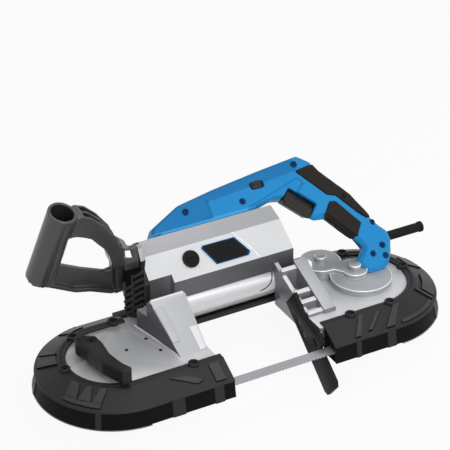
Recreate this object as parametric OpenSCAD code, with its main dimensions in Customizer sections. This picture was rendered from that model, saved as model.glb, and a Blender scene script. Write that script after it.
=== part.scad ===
// Portable deep-throat metal band saw, in millimetres.
// X runs along the blade from the idler wheel to the drive wheel, Y away from the cutting edge,
// Z up along the wheel axes. Inside the modules Z is zero on top of the wheel plates.

/* [Wheels and blade] */
// Distance between the wheel axes
wheel_spacing = 313; // [305:1:325]
// Radius of a wheel over its tyre
wheel_r = 82; // [80:0.5:83]
// Width of a wheel along its axis
wheel_w = 15; // [14:0.5:15]
// Height of the wheels' middle plane
wheel_z = -18; // [-18.5:0.5:-18]
// Thickness of the rubber tyre
tyre_t = 2.3; // [1.5:0.1:3]
// Width of the blade from its back to the tooth tips
blade_w = 13; // [10:0.5:13]
// Thickness of the blade
blade_t = 0.65; // [0.5:0.05:0.9]
// Distance from tooth to tooth
tooth_pitch = 4; // [4:0.5:8]
// Depth of a tooth
tooth_h = 1.3; // [0.8:0.1:2]
// Twist of the blade between the guides, in degrees
blade_twist = 85; // [80:1:88]
// How far the guided blade lies inside the wheels' rim
cut_in = 2.5; // [2:0.5:3]
// Height of the guided blade
cut_z = -19.5; // [-20:0.5:-19]
// Gap between the blade and a wheel or roller
blade_gap = 0.3; // [0.3:0.05:0.5]

/* [Frame] */
// Thickness of the wheel plates
plate_t = 5; // [4:0.5:5]
// Radius of a wheel plate
plate_r = 61; // [60:0.5:61]
// Distance of the left throat wall from the middle
throat_left = 60; // [56:1:62]
// Distance of the right throat wall from the middle
throat_right = 65; // [65:0.5:66]
// Thickness of the throat walls
wall_t = 5; // [4:0.5:6]
// Distance of the bridge's front behind the wheel axes
bridge_y = 37.5; // [36:0.5:38]

/* [Motor] */
// Distance of the motor axis behind the wheel axes
motor_y = 78; // [78:0.5:79]
// Height of the motor axis
motor_z = 33; // [32:0.5:33]
// Radius of the stator
stator_r = 28.5; // [27:0.5:28.5]
// Left end of the motor body
motor_x0 = -90; // [-91:0.5:-89]
// Right end of the motor body
motor_x1 = 95; // [92:1:96]
// Length of the vented end cap
end_cap_l = 6; // [5.5:0.5:6.5]
// Radius of the motor shaft
motor_shaft_r = 5; // [4:0.5:6]

/* [Guards] */
// Width of a guard's lip on its wheel plate
lip_w = 8.5; // [7:0.5:8.5]
// Distance from a tyre to the guard's lower edge
guard_reach = 9; // [9:0.5:11]
// Height of a guard's lower edge
guard_z = -32.2; // [-34:0.2:-32.2]
// Wall thickness of a guard
guard_t = 2.4; // [2:0.2:2.6]
// End of the left guard at the throat
guard_left_end = -56; // [-58:0.5:-55]
// End of the right guard at the throat
guard_right_end = 70; // [70:0.5:72]

/* [Gears] */
// Module of the gear teeth
gear_m = 1.3; // [1.2:0.1:1.3]
// Teeth of the gear on the drive shaft
gear_n = 48; // [46:1:48]
// Teeth of the pinion
pinion_n = 30; // [29:1:31]
// Face width of the gears
gear_w = 5; // [4:0.5:5]

/* [Handles] */
// Tilt of the switch handle's plane, in degrees
handle_tilt = 45; // [44:0.5:46]
// Half width of the switch handle
handle_half = 17; // [16:0.5:18]
// Offset of the switch handle's middle plane
handle_v = -6; // [-6.5:0.5:-5.5]
// Travel of the trigger
trigger_travel = 7; // [4:0.5:7]
// Radius of the speed dial
dial_r = 10; // [8:0.5:10.5]
// Tilt of the front handle's plane, in degrees
grip_tilt = 108; // [107:0.5:109]
// Radius of the front grip
grip_r = 16; // [14:0.5:18]
// Radius of the front grip's hollow
grip_bore_r = 12.5; // [9:0.5:12.5]
// Length of the cord sleeve outside the handle
sleeve_l = 50; // [30:1:60]
// Outer radius of the cord sleeve
sleeve_r = 5.5; // [5:0.25:6.5]
// Radius of the hole for the cord
cord_r = 3.75; // [3:0.25:4]

/* [Tension] */
// Place of the lever's pivot left of the idler axis
lever_dx = 23; // [22:0.5:23]
// Place of the lever's pivot behind the idler axis
lever_dy = 7; // [6:0.5:8]
// Throw of the lever's cam
cam_throw = 3; // [2:0.5:3]

/* [Fits] */
// Running fit of shafts and pins
run_fit = 0.05; // [0.03:0.01:0.1]
// Sliding gap between moving pieces
slide_fit = 0.3; // [0.3:0.05:0.4]
// Slip gap between pieces that are assembled
slip_fit = 0.1; // [0.05:0.05:0.15]

/* [Hidden] */
$fn = 48;
aluminium = [0.8, 0.81, 0.83];
black = [0.1, 0.1, 0.11];
steel = [0.55, 0.56, 0.58];
blue = [0.1, 0.5, 0.82];
// Shift that puts the origin under the middle of the whole saw
origin_shift = [-6.25, -9.23, 71.4];
cx = wheel_spacing / 2;
wheel_top = wheel_z + wheel_w / 2;
wheel_bottom = wheel_z - wheel_w / 2;
rim_r = wheel_r - tyre_t;
blade_r = wheel_r + blade_gap + blade_t / 2;
cut_y = wheel_r - cut_in;
guard_in = plate_r - lip_w;
guard_out = wheel_r + guard_reach;
// Gear layout
gear_r = gear_m * gear_n / 2;
pinion_r = gear_m * pinion_n / 2;
pinion_dir = 125.5;
pinion_x = cx + (gear_r + pinion_r) * cos(pinion_dir);
pinion_y = (gear_r + pinion_r) * sin(pinion_dir);
gear_z0 = 0.5;
disc_h = gear_z0 + gear_w + 2.5;
lobe = [cx - 4.2, 6.8];
lobe_r = 14;
disc_r = gear_r + gear_m + 2.5;
kidney_h = disc_h + 5.5;
kidney_r = pinion_r + gear_m + 2.5;
drive_shaft_r = 7.5;
pinion_shaft_r = 5;
drive_bearing_r = 16;
drive_bearing_w = 9;
// Lever and carriage
lever_x = -cx - lever_dx;
lever_y = lever_dy;
lever_z = 9.5;
lever_top = 25;
lever_knob = [8, -61];
pivot_r = 6;
cam_r = pivot_r - cam_throw - 0.3;
carriage_z0 = wheel_top + 0.9;
carriage_z1 = -plate_t - slide_fit;
cam_gap = 1.2;
idler_axle_r = 7.5;
carriage_travel = 2 * cam_throw;
// Guards: places of the screws, as angle or as offset along the straight
lip_h = 2.5;
boss_r = plate_r - 4;
boss_h = 5;
boss_wall = 2.4;
head_r = 3.6;
head_z = 1.8;
screw_r = 2;
drive_bosses = [[-49.5, -boss_r], [2.5, -boss_r], [boss_r, 1], [10, boss_r]];
idler_bosses = [[-boss_r - 1.5, 0], boss_r * [cos(117), sin(117)], [26, boss_r], [cx - 90, -boss_r]];
idler_back_end = -118;
drive_back_end = 150;
// Motor body section in Y and Z: the front, the slanted face and the seat under the handle
seat_u = 111.3;
front_y = 40;
crease_z = 42;
slant_w = 26;
// Front edge of the seat, and its height
top_y = front_y + slant_w + 5.2;
seat_z = seat_u * sqrt(2) - top_y;
motor_bottom = 0;
notch_y = 47;
notch_z = 22;
motor_back = motor_y + 36;
// Stop plate
stop_t = 4.5;
stop_x = throat_right - stop_t;
stop_bolts = [[-26, 8], [-41, 9]];
stop_head = 2.4;
// The guided blade's middle in the plane of the stop plate
cut_at = [cut_z - cut_y, cut_z + cut_y] / sqrt(2);
// Blade guides
guide_roller_r = 3.5;
guide_pin_r = 1.6;
guide_l = 9;
guide_x_left = guard_left_end - 10;
guide_x_right = guard_right_end + 10;
back_roller_dx = 13;
back_roller_y = -cut_y + blade_w / 2 + blade_gap + guide_roller_r;
// The blade keeps a slight tilt between the rollers
roller_off = blade_t / 2 + blade_gap + guide_roller_r + sin(90 - blade_twist) * blade_w / 2;
back_roller_w = 8;
// Where the side rollers start in front of the axes, and the bracket's screw
roller_y = cut_y - 6.5;
guide_y = plate_r - 5;

// Places children in the switch handle's plane: x along the saw, y up the slope, z out of its side
module handle_plane() { rotate([handle_tilt, 0, 0]) children(); }
// Places children in the front handle's plane
module grip_plane() { translate([0, 82, 36]) rotate([grip_tilt, 0, 0]) children(); }
// A bar along X from x0 to x1 whose section is drawn in Y and Z
module along_x(x0, x1) { translate([x0, 0, 0]) rotate([90, 0, 90]) linear_extrude(x1 - x0) children(); }
// A cylinder along X
module rod_x(x0, x1, r) { translate([x0, 0, 0]) rotate([0, 90, 0]) cylinder(h = x1 - x0, r = r); }
// A cylinder up from z0 to z1
module post(x, y, z0, z1, r) { translate([x, y, z0]) cylinder(h = z1 - z0, r = r); }
// A block between two corners
module block(a, b) { translate(a) cube(b - a); }

// Plan of a wheel plate, with the straight side towards the throat at x_end
module plate_plan(side, x_end) {
  circle(r = plate_r, $fn = 96);
  translate([side > 0 ? x_end : 0, -plate_r]) square([abs(x_end), 2 * plate_r]);
}

module main_frame() {
  color(aluminium) difference() {
    union() {
      translate([-cx, 0, -plate_t]) linear_extrude(plate_t)
        plate_plan(-1, cx - throat_left);
      translate([cx, 0, -plate_t]) linear_extrude(plate_t)
        plate_plan(1, throat_right - cx);
      // Walls along the throat
      block([-throat_left - wall_t, 6 - guide_y, -24.5], [-throat_left, bridge_y, 0]);
      block([throat_right, -30, -24.5], [throat_right + wall_t, bridge_y, 0]);
      // Rounded bridge behind the throat
      along_x(leg_x0, throat_right + 37) bridge_section(-plate_t, 19);
      along_x(-throat_left - 18, throat_right + 13) bridge_section(-15, 0);
      // Left leg: a ramp whose left side runs aslant
      intersection() {
        along_x(-115, leg_x1) polygon([[-36, -plate_t], [-36, 0], [10, 38], [13, 42], [18, 43], [22, 40],
          [22, notch_z], [front_y, notch_z], [front_y, -plate_t]]);
        translate([0, 0, -50]) linear_extrude(120)
          polygon([[-95, -36], [leg_x1, -36], [leg_x1, front_y], [-109, front_y]]);
      }
      // Right rib with the ribbed pockets on its throat side
      along_x(rib_x, rib_x + rib_w) intersection() {
        rib_side(0);
        translate([-39, -20]) square([69, 80]);
      }
      along_x(throat_right, throat_right + wall_t) rib_side(8);
      for (y = [22, -9, -22, -37]) intersection() {
        block([throat_right, y, -plate_t], [rib_x + 1, y + 5, 60]);
        along_x(throat_right, rib_x + 1) rib_side(3);
      }
      // Boss of the drive bearing
      post(cx, 0, carriage_z0, 0, drive_bearing_r + 3.5);
      // Rails of the idler carriage
      for (s = [-1, 1])
        block([-cx - 46, s > 0 ? 22 + slide_fit : -29, carriage_z0],
          [-cx + 20, s > 0 ? 29 : -22 - slide_fit, -plate_t]);
    }
    post(cx, 0, -20, 20, drive_shaft_r + 2);
    post(cx, 0, -20, -0.3, drive_bearing_r + slip_fit);
    post(pinion_x, pinion_y, -4, 20, pinion_shaft_r + run_fit);
    post(lever_x, lever_y, -20, 20, pivot_r + run_fit);
    for (p = drive_bosses) post(cx + p.x, p.y, -20, 20, screw_r + slip_fit);
    for (p = idler_bosses) post(-cx + p.x, p.y, -20, 20, screw_r + slip_fit);
    for (p = stop_bolts) handle_plane() translate([stop_x, p.x, p.y]) rod_x(-1, 20, 2.5 + slip_fit);
    for (x = [guide_x_left, guide_x_right]) post(x, -guide_y, -20, 20, screw_r + slip_fit);
  }
}

leg_x0 = -97;
leg_x1 = -62;
bridge_d = 28.5;
rib_x = 84;
rib_w = 15;

// Side of the sloping rib, lowered by d
module rib_side(d) {
  polygon([[-46, -plate_t], [-46, 3 - d], [front_y, 37 - d], [front_y, -plate_t]]);
}

module bridge_section(z0, z1) {
  difference() {
    intersection() {
      translate([bridge_y + 22.5, 2]) circle(r = 22.5, $fn = 96);
      translate([bridge_y, z0]) square([bridge_d, z1 - z0]);
    }
    translate([48, motor_bottom - 0.5]) square([60, 60]);
  }
}

// Outline of the motor body in Y and Z
module motor_section() {
  polygon([[48.5, motor_bottom], [48.5, 19.2], [front_y, 19.2], [front_y, crease_z],
    [front_y + slant_w, crease_z + slant_w], [top_y, seat_z],
    [motor_back - 10, seat_z + top_y - motor_back + 10], [motor_back, 43], [motor_back, 15],
    [motor_back - 16, motor_bottom]]);
}

// Cut behind the end cap's ear that keeps the view through the front handle's window
module shoulder_cut() {
  translate([front_x - 1, top_y + 3.8, seat_z - 22]) rotate([-34.5, 0, 0]) cube([21, 60, 60]);
}

module motor_axis() { translate([0, motor_y, motor_z]) children(); }

// Brush tubes through the slanted face and opposite it
module brush_tubes(r, d0, d1) {
  translate([-34, motor_y, motor_z]) for (s = [45, 225]) rotate([s, 0, 0])
    translate([0, 0, d0]) cylinder(h = d1 - d0, r = r);
}

// Distance of the slanted face from the motor axis
brush_d = (motor_y - motor_z + crease_z - front_y) / sqrt(2);

module motor_housing() {
  color(aluminium) difference() {
    along_x(motor_x0, motor_x1) motor_section();
    motor_axis() rod_x(motor_x0 - 1, 68, stator_r + slip_fit);
    motor_axis() rod_x(60, 88, 11 + slip_fit);
    motor_axis() rod_x(60, 93, motor_shaft_r + 1);
    brush_tubes(8 + slip_fit, 20, 60);
    brush_tubes(10.2, brush_d, 60);
    shoulder_cut();
    // Notch at the left end of the slanted face
    block([motor_x0 - 1, front_y - 1, notch_z], [leg_x1, notch_y, crease_z + 14]);
  }
}

vent_n = 9;
vent_pitch = 5.4;

module motor_end_cap() {
  x0 = motor_x0 - end_cap_l;
  color(black) difference() {
    union() {
      along_x(x0, motor_x0) motor_section();
      motor_axis() rod_x(x0 + 2, x0 + 18, 14);
      // Ear that carries the front handle
      along_x(x0, motor_x0) translate([top_y, seat_z])
        polygon([[-14.2, -29.2], [-4.2, -19.2], [-0.2, -2.2], [-11.2, -1.2], [-17.2, -14.2]]);
    }
    motor_axis() rod_x(x0 + 8, x0 + 20, 9 + slip_fit);
    shoulder_cut();
    block([x0 - 1, front_y - 1, notch_z], [motor_x0 + 1, notch_y - 3, 60]);
    for (i = [0:vent_n - 1], s = [-1, 1])
      translate([x0 - 1, 61 + s * 6.2, 7 + i * vent_pitch]) rotate([0, 90, 0])
      rotate([0, 0, s * 35]) translate([-1.5, -4.8, 0]) cube([3, 9.6, 4]);
  }
}

module brush_caps() {
  color(black) difference() {
    union() {
      brush_tubes(8, 28, brush_d + 0.5);
      brush_tubes(10, brush_d, brush_d + 1.8);
    }
    translate([-34, motor_y, motor_z]) for (s = [45, 225]) rotate([s, 0, 0])
      translate([-6, -1, brush_d + 0.6]) cube([12, 2, 5]);
  }
}

// Places children on the slanted face, x along the saw and z out of the face
module slant_face() {
  translate([0, front_y + slant_w / 2, crease_z + slant_w / 2]) rotate([45, 0, 0]) children();
}

module badge_plate() {
  color(black) slant_face() translate([11, 0, 0]) linear_extrude(0.8)
    polygon([[-31, 4], [-24, 13], [24, 13], [31, 4], [20, -12], [-20, -12]]);
}

module rear_guard() {
  x0 = idler_back_end + 1;
  x1 = drive_back_end - 1;
  // Faces of the tray in front of the return run and of the wall behind it
  run_y = wheel_r - 1.8;
  back_y = wheel_r + 6;
  color(black) {
    along_x(-throat_left - 17, throat_right + 12) polygon([[bridge_y, -20.4], [bridge_y, -15.1],
      [bridge_y + 3.5, -15.1], [bridge_y + 3.5, -18.2], [run_y - 2.2, -18.2], [run_y - 2.2, -15.1],
      [run_y, -15.1], [run_y, -20.4]]);
    difference() {
      along_x(x0, x1) polygon([[bridge_y + bridge_d + 0.4, -10.4], [bridge_y + bridge_d + 0.4, -8],
        [back_y, -8], [back_y, -28.5], [run_y - 2.2, -28.5], [run_y - 2.2, -26.4], [back_y - 2.2, -26.4],
        [back_y - 2.2, -10.4]]);
      for (s = [-1, 1]) post(s * cx, 0, -40, 0, blade_r + 3);
    }
    along_x(-throat_left - 17, throat_right + 12) polygon([[run_y - 2.2, -28.5],
      [run_y - 2.2, -20.4], [run_y, -20.4], [run_y, -28.5]]);
  }
}

// Section of a guard: distance from the wheel axis and height
module guard_section() {
  polygon([[guard_in, 0], [guard_in, lip_h], [plate_r, lip_h], [guard_out - 4, -11.5], [guard_out, guard_z],
    [guard_out - guard_t, guard_z], [guard_out - guard_t - 3.2, -12], [plate_r + 1, -1.6], [plate_r + 1, 0]]);
}

// Middle of the guard's sloping wall at radius r
function slope_mid(r) = 0.45 - (r - plate_r - 0.5) * 12.15 / (guard_out - plate_r - 5.5);

// Raised pad over the slope and the wall
module pad_section() {
  polygon([[plate_r + 4, slope_mid(plate_r + 4)], [plate_r + 6, 2.4], [guard_out - 8, -6.6],
    [guard_out - 3.2, -10.5], [guard_out - 0.5, -25], [guard_out - 2.4, -25], [guard_out - 5, -11.7]]);
}

// Wall that closes a guard at the throat, with a slot for the blade
module guard_end() {
  difference() {
    polygon([[plate_r + 1, -1], [guard_out - 4.4, -11.7], [guard_out - 0.6, guard_z], [plate_r + 1, guard_z]]);
    translate([cut_y - 9, cut_z - 3]) square([18, 6]);
  }
}

// Straight run of a guard, along X from x0 to x1, on the front (s = -1) or the back (s = 1)
module guard_run(x0, x1, s) { mirror([0, s < 0 ? 1 : 0, 0]) along_x(x0, x1) children(); }

module guard(side, x_end, x_back, bosses) {
  x0 = min(0, x_end);
  pad_w = 16;
  difference() {
    union() {
      rotate([0, 0, side > 0 ? -90 : 90]) rotate_extrude(angle = 180, $fn = 96) guard_section();
      guard_run(min(0, x_end), max(0, x_end), -1) guard_section();
      guard_run(min(0, x_back), max(0, x_back), 1) guard_section();
      for (a = [-70:28:14]) rotate([0, 0, (side > 0 ? a : 180 - a) - 5])
        rotate_extrude(angle = 10, $fn = 96) pad_section();
      for (k = [0.3, 0.62, 0.9]) guard_run(k * x_end - pad_w / 2, k * x_end + pad_w / 2 - 4, -1) pad_section();
      guard_run(min(x_end, x_end + side * guard_t), max(x_end, x_end + side * guard_t), -1) guard_end();
      for (p = bosses) post(p.x, p.y, 0, boss_h, head_r + slide_fit + boss_wall);
    }
    for (p = bosses) post(p.x, p.y, -5, 10, screw_r + slip_fit);
    for (p = bosses) post(p.x, p.y, head_z, 10, head_r + slide_fit);
  }
}

module idler_guard() {
  color(black) translate([-cx, 0, 0]) guard(-1, guard_left_end + cx, idler_back_end + cx, idler_bosses);
}

module drive_guard() {
  color(black) translate([cx, 0, 0]) guard(1, guard_right_end - cx, drive_back_end - cx, drive_bosses);
}

module guard_trims() {
  color(steel) for (s = [-1, 1]) translate([s * cx, 0, guard_z - 1])
    rotate([0, 0, s > 0 ? -90 : 90]) rotate_extrude(angle = 180, $fn = 96)
      translate([guard_out - guard_t - 3, 0]) square([guard_t + 2.4, 1]);
}

module guard_screws() {
  color(steel) {
    for (p = drive_bosses) screw_up(cx + p.x, p.y);
    for (p = idler_bosses) screw_up(-cx + p.x, p.y);
  }
}

// Socket screw standing in a guard boss
module screw_up(x, y) {
  difference() {
    union() {
      post(x, y, -plate_t, head_z, screw_r);
      post(x, y, head_z, head_z + 1.6, head_r);
    }
    translate([x, y, head_z + 0.6]) cylinder(h = 3, r = 2, $fn = 6);
  }
}

module gear_cover() {
  color(aluminium) difference() {
    union() {
      post(cx, 0, 0, disc_h, disc_r);
      post(lobe.x, lobe.y, 0, kidney_h, lobe_r);
      post(pinion_x, pinion_y, 0, kidney_h, kidney_r);
      translate([lobe.x, lobe.y, 0]) rotate([0, 0, pinion_dir]) block([0, -11, 0], [gear_r, 11, kidney_h]);
      post(cx + 27, 21, 0, disc_h, 14);
    }
    post(cx, 0, -1, disc_h - 2, gear_r + gear_m + 1);
    post(pinion_x, pinion_y, -1, disc_h - 2, pinion_r + gear_m + 1);
    post(pinion_x, pinion_y, -1, kidney_h - 2, pinion_shaft_r - 1 + run_fit);
  }
}

module gear_cover_caps() {
  color(aluminium) for (p = [lobe, [pinion_x, pinion_y]]) {
    post(p.x, p.y, kidney_h, kidney_h + 6, 7);
    post(p.x, p.y, kidney_h + 6, kidney_h + 6.8, 6.2);
  }
}

// Outline of the switch handle in its own plane
module handle_outline() {
  s = seat_u;
  polygon([[-74, s + 0.2], [-66, s + 11.5], [-29, s + 28.5], [17, s + 35.7], [77, s + 42.7],
    [cx - 24.5, s + 48], [cx - 11, s + 37.5], [cx - 4, s + 23.5], [cx + 17.5, s - 4.3], [cx + 23.5, s - 13.3],
    [cx + 34.5, 66], [cx + 41.5, 59], [cx + 52.5, 46], [cx + 53.5, 36], [cx + 47.5, 21], [cx + 40.5, 10],
    [cx + 31.5, 2], [cx + 9.5, 2], [cx - 1.5, 18], [cx + 5.5, 28], [cx + 9.5, 37], [cx + 6.5, 47],
    [cx - 2.5, 58.5], [cx - 17.5, s - 32.3], [cx - 32.5, s - 30.3], [cx - 41.5, s - 22.3],
    [motor_x1 + 2, s + 4.7], [motor_x1 - 9, s + 6.7], [motor_x1 - 42, s + 0.2]]);
}

// The same outline drawn in by d, but not along its seat on the motor
module handle_layer(d) {
  offset(delta = -d) handle_outline();
  intersection() {
    handle_outline();
    translate([-62, seat_u]) square([112, 8]);
  }
}

trigger_dir = 43;
switch_half = 10.5;

// Half widths of the trigger's stem and of its face, and their depths
stem_half = 9.2;
face_half = handle_half - 1.5;
stem_d = 21;
face_d = stem_d - 7.5;

// Outline of the trigger to a depth d, grown by g for its pocket
module trigger_outline(g, d) {
  translate([motor_x1 - 2.5, seat_u - 0.3]) rotate(trigger_dir - 90)
    translate([-g, -g]) square([37 + 2 * g, d + 2 * g]);
}

// Relief of a handle side: sunk nose over the lip, sunk strip over the trigger, crown that falls to the top
module side_relief() {
  translate([-90, seat_u + 3.7, handle_half - nose_sink]) cube([95, 60, 10]);
  translate([0, 0, handle_half - nose_sink]) linear_extrude(10)
    polygon([[motor_x1 - 43, seat_u - 5], [motor_x1 - 43, seat_u + 4.6], [cx - 35, seat_u + 22.5],
      [cx - 30, seat_u + 15], [motor_x1 + 7, seat_u - 5]]);
  translate([5, seat_u + 21.5, handle_half]) rotate([0, 0, 4]) rotate([-crown_tilt, 0, 0]) cube([160, 40, 20]);
}

nose_sink = 3;
crown_tilt = 17;

// Layers of a handle half that draw in towards its side: how far in, and how far below the side
near_layers = [[0, 5.5], [2, 2.5], [5, 0]];
far_layers = [[0, 12], [2.5, 8.5], [5, 5], [8, 1.5]];

// One half of the handle before its hollows
module handle_half_form(s, grow) {
  difference() {
    for (k = s > 0 ? near_layers : far_layers)
      translate([0, 0, handle_v + (s > 0 ? 0 : k[1] - handle_half - grow)])
        linear_extrude(handle_half - k[1] + grow) handle_layer(k[0] - grow);
    translate([0, 0, handle_v]) mirror([0, 0, s > 0 ? 0 : 1]) side_relief();
  }
}

module handle_half_shell(s) {
  difference() {
    handle_plane() handle_half_form(s, 0);
    handle_hollows();
    // Foot cut level with the gear cover and clear of its raised lobe
    below_foot(0);
    post(lobe.x, lobe.y, 0, kidney_h + 0.4, lobe_r + 0.4);
    post(lobe.x, lobe.y, 0, kidney_h + 7.2, 7.4);
  }
}

// Everything below the handle's foot
module below_foot(d) { translate([0, -200, -200]) cube([400, 400, 200 + disc_h + d]); }

sleeve_u = 41.5;
// Inner end of the cord sleeve, its length in the handle and its flange
sleeve_x = cx + 37.7;
sleeve_in = 15.8;
flange_l = 5.6;
dial_x = 70;
dial_u = seat_u + 26.7;
dial_v = handle_v + handle_half - dial_r + 0.8;

// Hollows shared by both handle shells
module handle_hollows() {
  handle_plane() {
    // Pocket of the trigger with its travel, and of the switch behind it
    translate([0, 0, handle_v - stem_half - slide_fit]) linear_extrude(2 * (stem_half + slide_fit)) hull() {
      trigger_outline(slide_fit, stem_d);
      translate(trigger_travel * [cos(trigger_dir), sin(trigger_dir)]) trigger_outline(slide_fit, stem_d);
    }
    // Openings in both sides for the trigger's face
    translate([0, 0, handle_v - 2 * handle_half]) linear_extrude(4 * handle_half)
      trigger_outline(slide_fit, stem_d);
    translate([motor_x1 + 23, seat_u + 6.7, handle_v - switch_half - slide_fit])
      rotate([0, 0, trigger_dir - 90]) cube([34, 20, 2 * (switch_half + slide_fit)]);
    // Chamber and window of the speed dial
    translate([dial_x, dial_u - 4.3, dial_v]) rotate([-90, 0, 0]) cylinder(h = 8.6, r = dial_r + slide_fit);
    translate([dial_x - 8.5, dial_u - 4.3, dial_v]) cube([17, 8.6, 20]);
    translate([dial_x, dial_u - 7, dial_v]) rotate([-90, 0, 0]) cylinder(h = 14, r = 2 + run_fit);
    // Seat of the cord sleeve
    translate([sleeve_x, sleeve_u, handle_v]) rod_x(-0.2, 36, sleeve_r + slip_fit);
    translate([sleeve_x, sleeve_u, handle_v]) rod_x(-0.2, flange_l + 0.2, sleeve_r + 2 + slip_fit);
    for (p = handle_screw_places) translate([p.x, p.y, handle_v - handle_half + 8.6])
      cylinder(h = 2 * handle_half, r = 2 + slip_fit);
    for (p = handle_screw_places) translate([p.x, p.y, handle_v + handle_half - 4]) cylinder(h = 40, r = 3.8);
    // Seats of the soft inserts
    grip_back_body(slip_fit);
    grip_side_bodies(slip_fit);
  }
}

handle_screw_places = [[-23.5, seat_u + 18.7], [46, seat_u + 12.7], [cx - 32.5, seat_u + 38.7], [cx + 36, 60],
  [cx + 37.5, 31], [cx + 22, 24.5]];

// Outline of the soft back insert, grown by g
module grip_back_outline(g) {
  offset(delta = g) polygon([[cx - 35, seat_u + 30.2], [cx - 4, seat_u + 34], [cx + 28, seat_u + 6],
    [cx + 44, 65.5], [cx + 28.5, 66], [cx + 3.5, seat_u - 9.5], [cx - 6.5, seat_u - 6]]);
}

// Soft back insert: a skin that wraps round the back and both sides of the grip
module grip_back_body(g) {
  difference() {
    translate([0, 0, handle_v - handle_half - 2]) linear_extrude(2 * handle_half + 4) grip_back_outline(g);
    translate([0, 0, handle_v - handle_half + skin_t + g]) linear_extrude(2 * (handle_half - skin_t - g))
      translate([-skin_t, -skin_t]) grip_back_outline(-g);
  }
}

skin_t = 5.8;

module grip_side_bodies(g) {
  for (s = [-1, 1]) translate([0, 0, handle_v + s * (handle_half - (s > 0 ? 0.7 : 2.2)) - 2.3 - g])
    linear_extrude(4.6 + 2 * g) offset(delta = g)
      polygon([[cx - 21, seat_u - 31], [cx - 7, seat_u - 15], [cx, seat_u - 16.5], [cx + 21, 62.5],
        [cx + 10, 49]]);
}

module handle_shell_near() { color(blue) handle_half_shell(1); }
module handle_shell_far() { color(blue) handle_half_shell(-1); }

module grip_back() {
  color(black) handle_plane() intersection() {
    grip_back_body(0);
    union() {
      handle_half_form(1, 0.5);
      handle_half_form(-1, 0.5);
    }
  }
}

module grip_sides() {
  color(black) handle_plane() intersection() {
    grip_side_bodies(0);
    union() {
      handle_half_form(1, 0.9);
      handle_half_form(-1, 0.9);
    }
  }
}

module handle_screws() {
  color(steel) difference() {
    handle_plane() for (p = handle_screw_places) translate([p.x, p.y, handle_v]) difference() {
      union() {
        translate([0, 0, -handle_half + 9]) cylinder(h = 2 * handle_half - 13, r = 2);
        translate([0, 0, handle_half - 4]) cylinder(h = 2.4, r = 3.5);
      }
      translate([0, 0, handle_half - 2.6]) cylinder(h = 3, r = 1.8, $fn = 6);
    }
    below_foot(1);
  }
}

module trigger() {
  color(black) handle_plane() for (k = [[stem_half, stem_d], [face_half, face_d]])
    translate([0, 0, handle_v - k[0]]) linear_extrude(2 * k[0]) difference() {
      trigger_outline(0, k[1]);
      translate([motor_x1 - 20, seat_u - 20]) square([20.6, 24]);
    }
}

module switch_body() {
  color(black) handle_plane() translate([motor_x1 + 23.3, seat_u + 6.7, handle_v - switch_half])
    rotate([0, 0, trigger_dir - 90]) translate([0.4, 9, 0]) cube([33, 10.5, 2 * switch_half]);
}

module speed_dial() {
  color(black) handle_plane() translate([dial_x, dial_u, dial_v]) rotate([-90, 0, 0]) {
    translate([0, 0, -4]) cylinder(h = 8, r = dial_r);
    translate([0, 0, -6.8]) cylinder(h = 13.6, r = 2);
  }
}

module cord_sleeve() {
  color(black) handle_plane() translate([sleeve_x, sleeve_u, handle_v]) difference() {
    union() {
      rod_x(0, sleeve_in + sleeve_l, sleeve_r);
      rod_x(0, flange_l, sleeve_r + 2);
      rod_x(sleeve_in + sleeve_l - 4, sleeve_in + sleeve_l, sleeve_r + 0.8);
    }
    rod_x(-4, sleeve_in + sleeve_l + 10, cord_r);
  }
}

// The front handle's grip axis, in its plane
grip_foot = [-210, 43];
grip_head = [-192, 141];
// Foot of the front handle on the end cap
front_x = motor_x0 - end_cap_l;

// Outer and inner edge of the front handle's upper arm, point by point
arm_outer = [[-174, 137], [-162, 131], [-146, 114], [-129, 90], [-120, 70]];
arm_inner = [[-178, 101], [-158, 92], [-140, 72], [-132, 57], [-126, 38]];
function flip(list) = [for (i = [len(list) - 1:-1:0]) list[i]];
arm_w = 20;
arm_wall = 2.6;
web_t = 6;

// Upper arm: two channels with a rib between them, open to the outside
module upper_arm() {
  difference() {
    translate([0, 0, -arm_w / 2]) linear_extrude(arm_w)
      polygon(concat([[-191, 132]], arm_outer, [[-106, 56], [-106, 36]], flip(arm_inner), [[-196, 104]]));
    for (s = [-1, 1]) translate([0, 0, s * (arm_w / 4 - arm_wall / 4) - (arm_w - 3 * arm_wall) / 4])
      linear_extrude((arm_w - 3 * arm_wall) / 2)
        polygon(concat([for (p = arm_outer) p + [8, 6]], flip(0.55 * arm_outer + 0.45 * arm_inner)));
  }
}

// Lower arm: a web with a flange along its lower edge
module lower_arm() {
  translate([0, 0, -web_t / 2]) linear_extrude(web_t)
    polygon([[-210, 45], [-199, 35], [-149, 9], [-117, -10], [-105, -10], [-105, 30], [-131, 26], [-160, 41],
      [-192, 61], [-205, 62]]);
  translate([0, 0, -8]) linear_extrude(16)
    polygon([[-214, 40], [-199, 31], [-168, 11], [-149, 5], [-117, -12], [-108, -10], [-117, -4], [-149, 11],
      [-168, 17], [-197, 37]]);
}

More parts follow.
